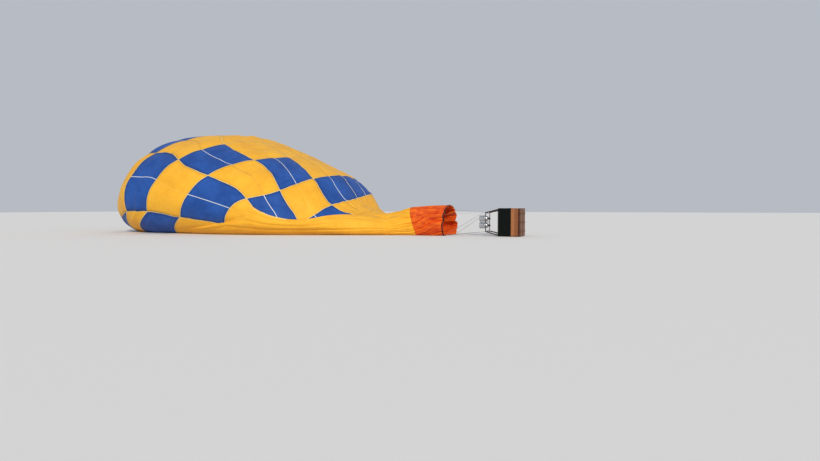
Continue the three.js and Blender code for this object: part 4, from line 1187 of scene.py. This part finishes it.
def burnerUnit(number, side):
    # can with a coil and a ring of jets inside it, and on the bar's other face a valve with lever and gauge
    can, valve = [frameAt + (x, 0, side * burner["apart"]) for x in (-burner["out"], burner["out"])]
    addPiece(f"burnerCan{number}", turned(burner["can"], can, xAxis, 72), "steel",
             [f"burner_can_{number}"], "burner")
    ring = can + burner["jetX"] * xAxis, burner["jetRing"] * yAxis, burner["jetRing"] * zAxis
    coils = [tubeAlong(helix(can, *burner["coil"]), burner["coilTube"], 12, up=xAxis),
             tubeAlong(helix(can, *burner["pilot"], 0.8, 120), burner["pilotTube"], 8, up=xAxis),
             tubeAlong(oval(*ring, 79), burner["jetTube"], 10, True, up=xAxis)]
    coils += [turned(burner["nozzle"], at, xAxis, 10) for at in oval(*ring, burner["jets"])]
    addPiece(f"burnerCoil{number}", joined(coils), "steel", body="burner")
    addPiece(f"burnerValve{number}", turned(burner["valve"], valve, xAxis, 32), "darkPaint",
             [f"burner_valve_{number}"], "burner")
    lever = [turned(burner["lever"], valve + (0.112, -0.02, 0.03), burner["leverTurn"], 12),
             turned(burner["grip"], valve + (0.150, -0.165, 0.03), burner["leverTurn"], 16)]
    addPiece(f"burnerLever{number}", joined(lever), "redPaint", body="burner")
    gauge = [turned(burner["gauge"], valve + (0.06, 0.045, -0.02 * side), (0.35, 0.94, 0), 24),
             turned(burner["inlet"], valve + (0.05, 0.02, 0.045 * side), (0.2, 0.3, 0.93 * side), 16)]
    addPiece(f"burnerGauge{number}", joined(gauge), "brass", body="burner")


burnerBar()
burnerUnit(1, -1)
burnerUnit(2, 1)
print("burners made")

# flying wires from the mouth to the frame's corners
wires = {
    "radius": 0.0035, "hookOut": 0.08, "hookIn": 0.02, "gapAtMouth": 0.05, "gapAtHook": 0.045,
    "beads": (0.02, 0.97), "bead": rod(0, 0.03, 0.0065),   # shares of a wire's length
    "thimble": (0.024, 0.010, 0.0032), "link": (0.022, 0.006),   # half sizes and wire's radius
    "gores": {"near_low": (0, 33, 30), "near_high": (2, 4.5, 7), "far_high": (10, 12.5, 15),
              "far_low": (18, 21, 24)},
}


def flyingWires(corner, gores):
    # straight wires, each with a thimble loop and a bead at both ends, and one link at the frame's corner
    hook = atCorner(corner, stay["frameX"] - wires["hookOut"], stay["halfShort"] - wires["hookIn"],
                    stay["halfLong"] - wires["hookIn"])
    strands, ends = [], []
    long, short, thick = wires["thimble"]
    for gore in gores:
        end = bagPoint(np.array([float(gore)]), np.array([float(bag["lastRow"])]))[0]
        end[2] = max(end[2], 0.016)
        ahead = unit(hook - end)
        start = end + wires["gapAtMouth"] * ahead
        run = hook - wires["gapAtHook"] * ahead - start
        strands.append(tubeAlong(start + run * np.linspace(0, 1, 6)[:, None], wires["radius"], 8))
        top = unit(np.cross(ahead, (0.1, 0.2, 1.0)))
        for centre in (end + 0.03 * ahead, hook - 0.022 * ahead):
            ring = oval(centre, long * ahead, short * top, 24)
            ends.append(tubeAlong(ring, thick, 8, True, up=np.cross(ahead, top)))
        ends += [turned(wires["bead"], start + run * share, ahead, 12) for share in wires["beads"]]
    eye = atCorner(corner, stay["frameX"] - 0.024, *frameCorner)
    axis, half = unit(hook - eye), float(np.linalg.norm(hook - eye)) / 2 + 0.010
    top = unit(np.cross(axis, zAxis))
    link = oval((hook + eye) / 2, half * axis, wires["link"][0] * top, 40)
    ends.append(tubeAlong(link, wires["link"][1], 12, True, up=np.cross(axis, top)))
    addPiece("wires" + titled(corner), joined(strands), "wire", ["wires_" + corner])
    addPiece("wireEnds" + titled(corner), joined(ends), "steel")


for corner, gores in wires["gores"].items():
    flyingWires(corner, gores)
print("wires made")


def setStage():
    half = studio["floorHalf"]
    mesh = bpy.data.meshes.new("studioFloor")
    square = [(-half, -half, -0.001), (half, -half, -0.001), (half, half, -0.001), (-half, half, -0.001)]
    mesh.from_pydata(square, [], [(0, 1, 2, 3)])
    connect(startMaterial("studioFloor")[0], {"Base Color": rgb(studio["floorColour"]), "Roughness": 0.9})
    mesh.materials.append(finish["studioFloor"])
    addObject("studioFloor", mesh)
    bpy.context.scene.view_settings.view_transform = "Standard"
    world = bpy.context.scene.world = bpy.data.worlds.new("softSky")
    world.use_nodes = True
    sky = {"Color": rgb(studio["skyColour"]), "Strength": studio["skyStrength"]}
    connect(world.node_tree.nodes["Background"], sky)
    sun = addObject("softSun", bpy.data.lights.new("softSun", "SUN"))
    sun.data.energy, sun.data.color = studio["sunStrength"], studio["sunColour"]
    sun.data.angle = radians(studio["sunSoft"])
    sun.rotation_euler = (radians(90 - studio["sunHeight"]), 0, radians(studio["sunSide"]))


setStage()
print("stage set")
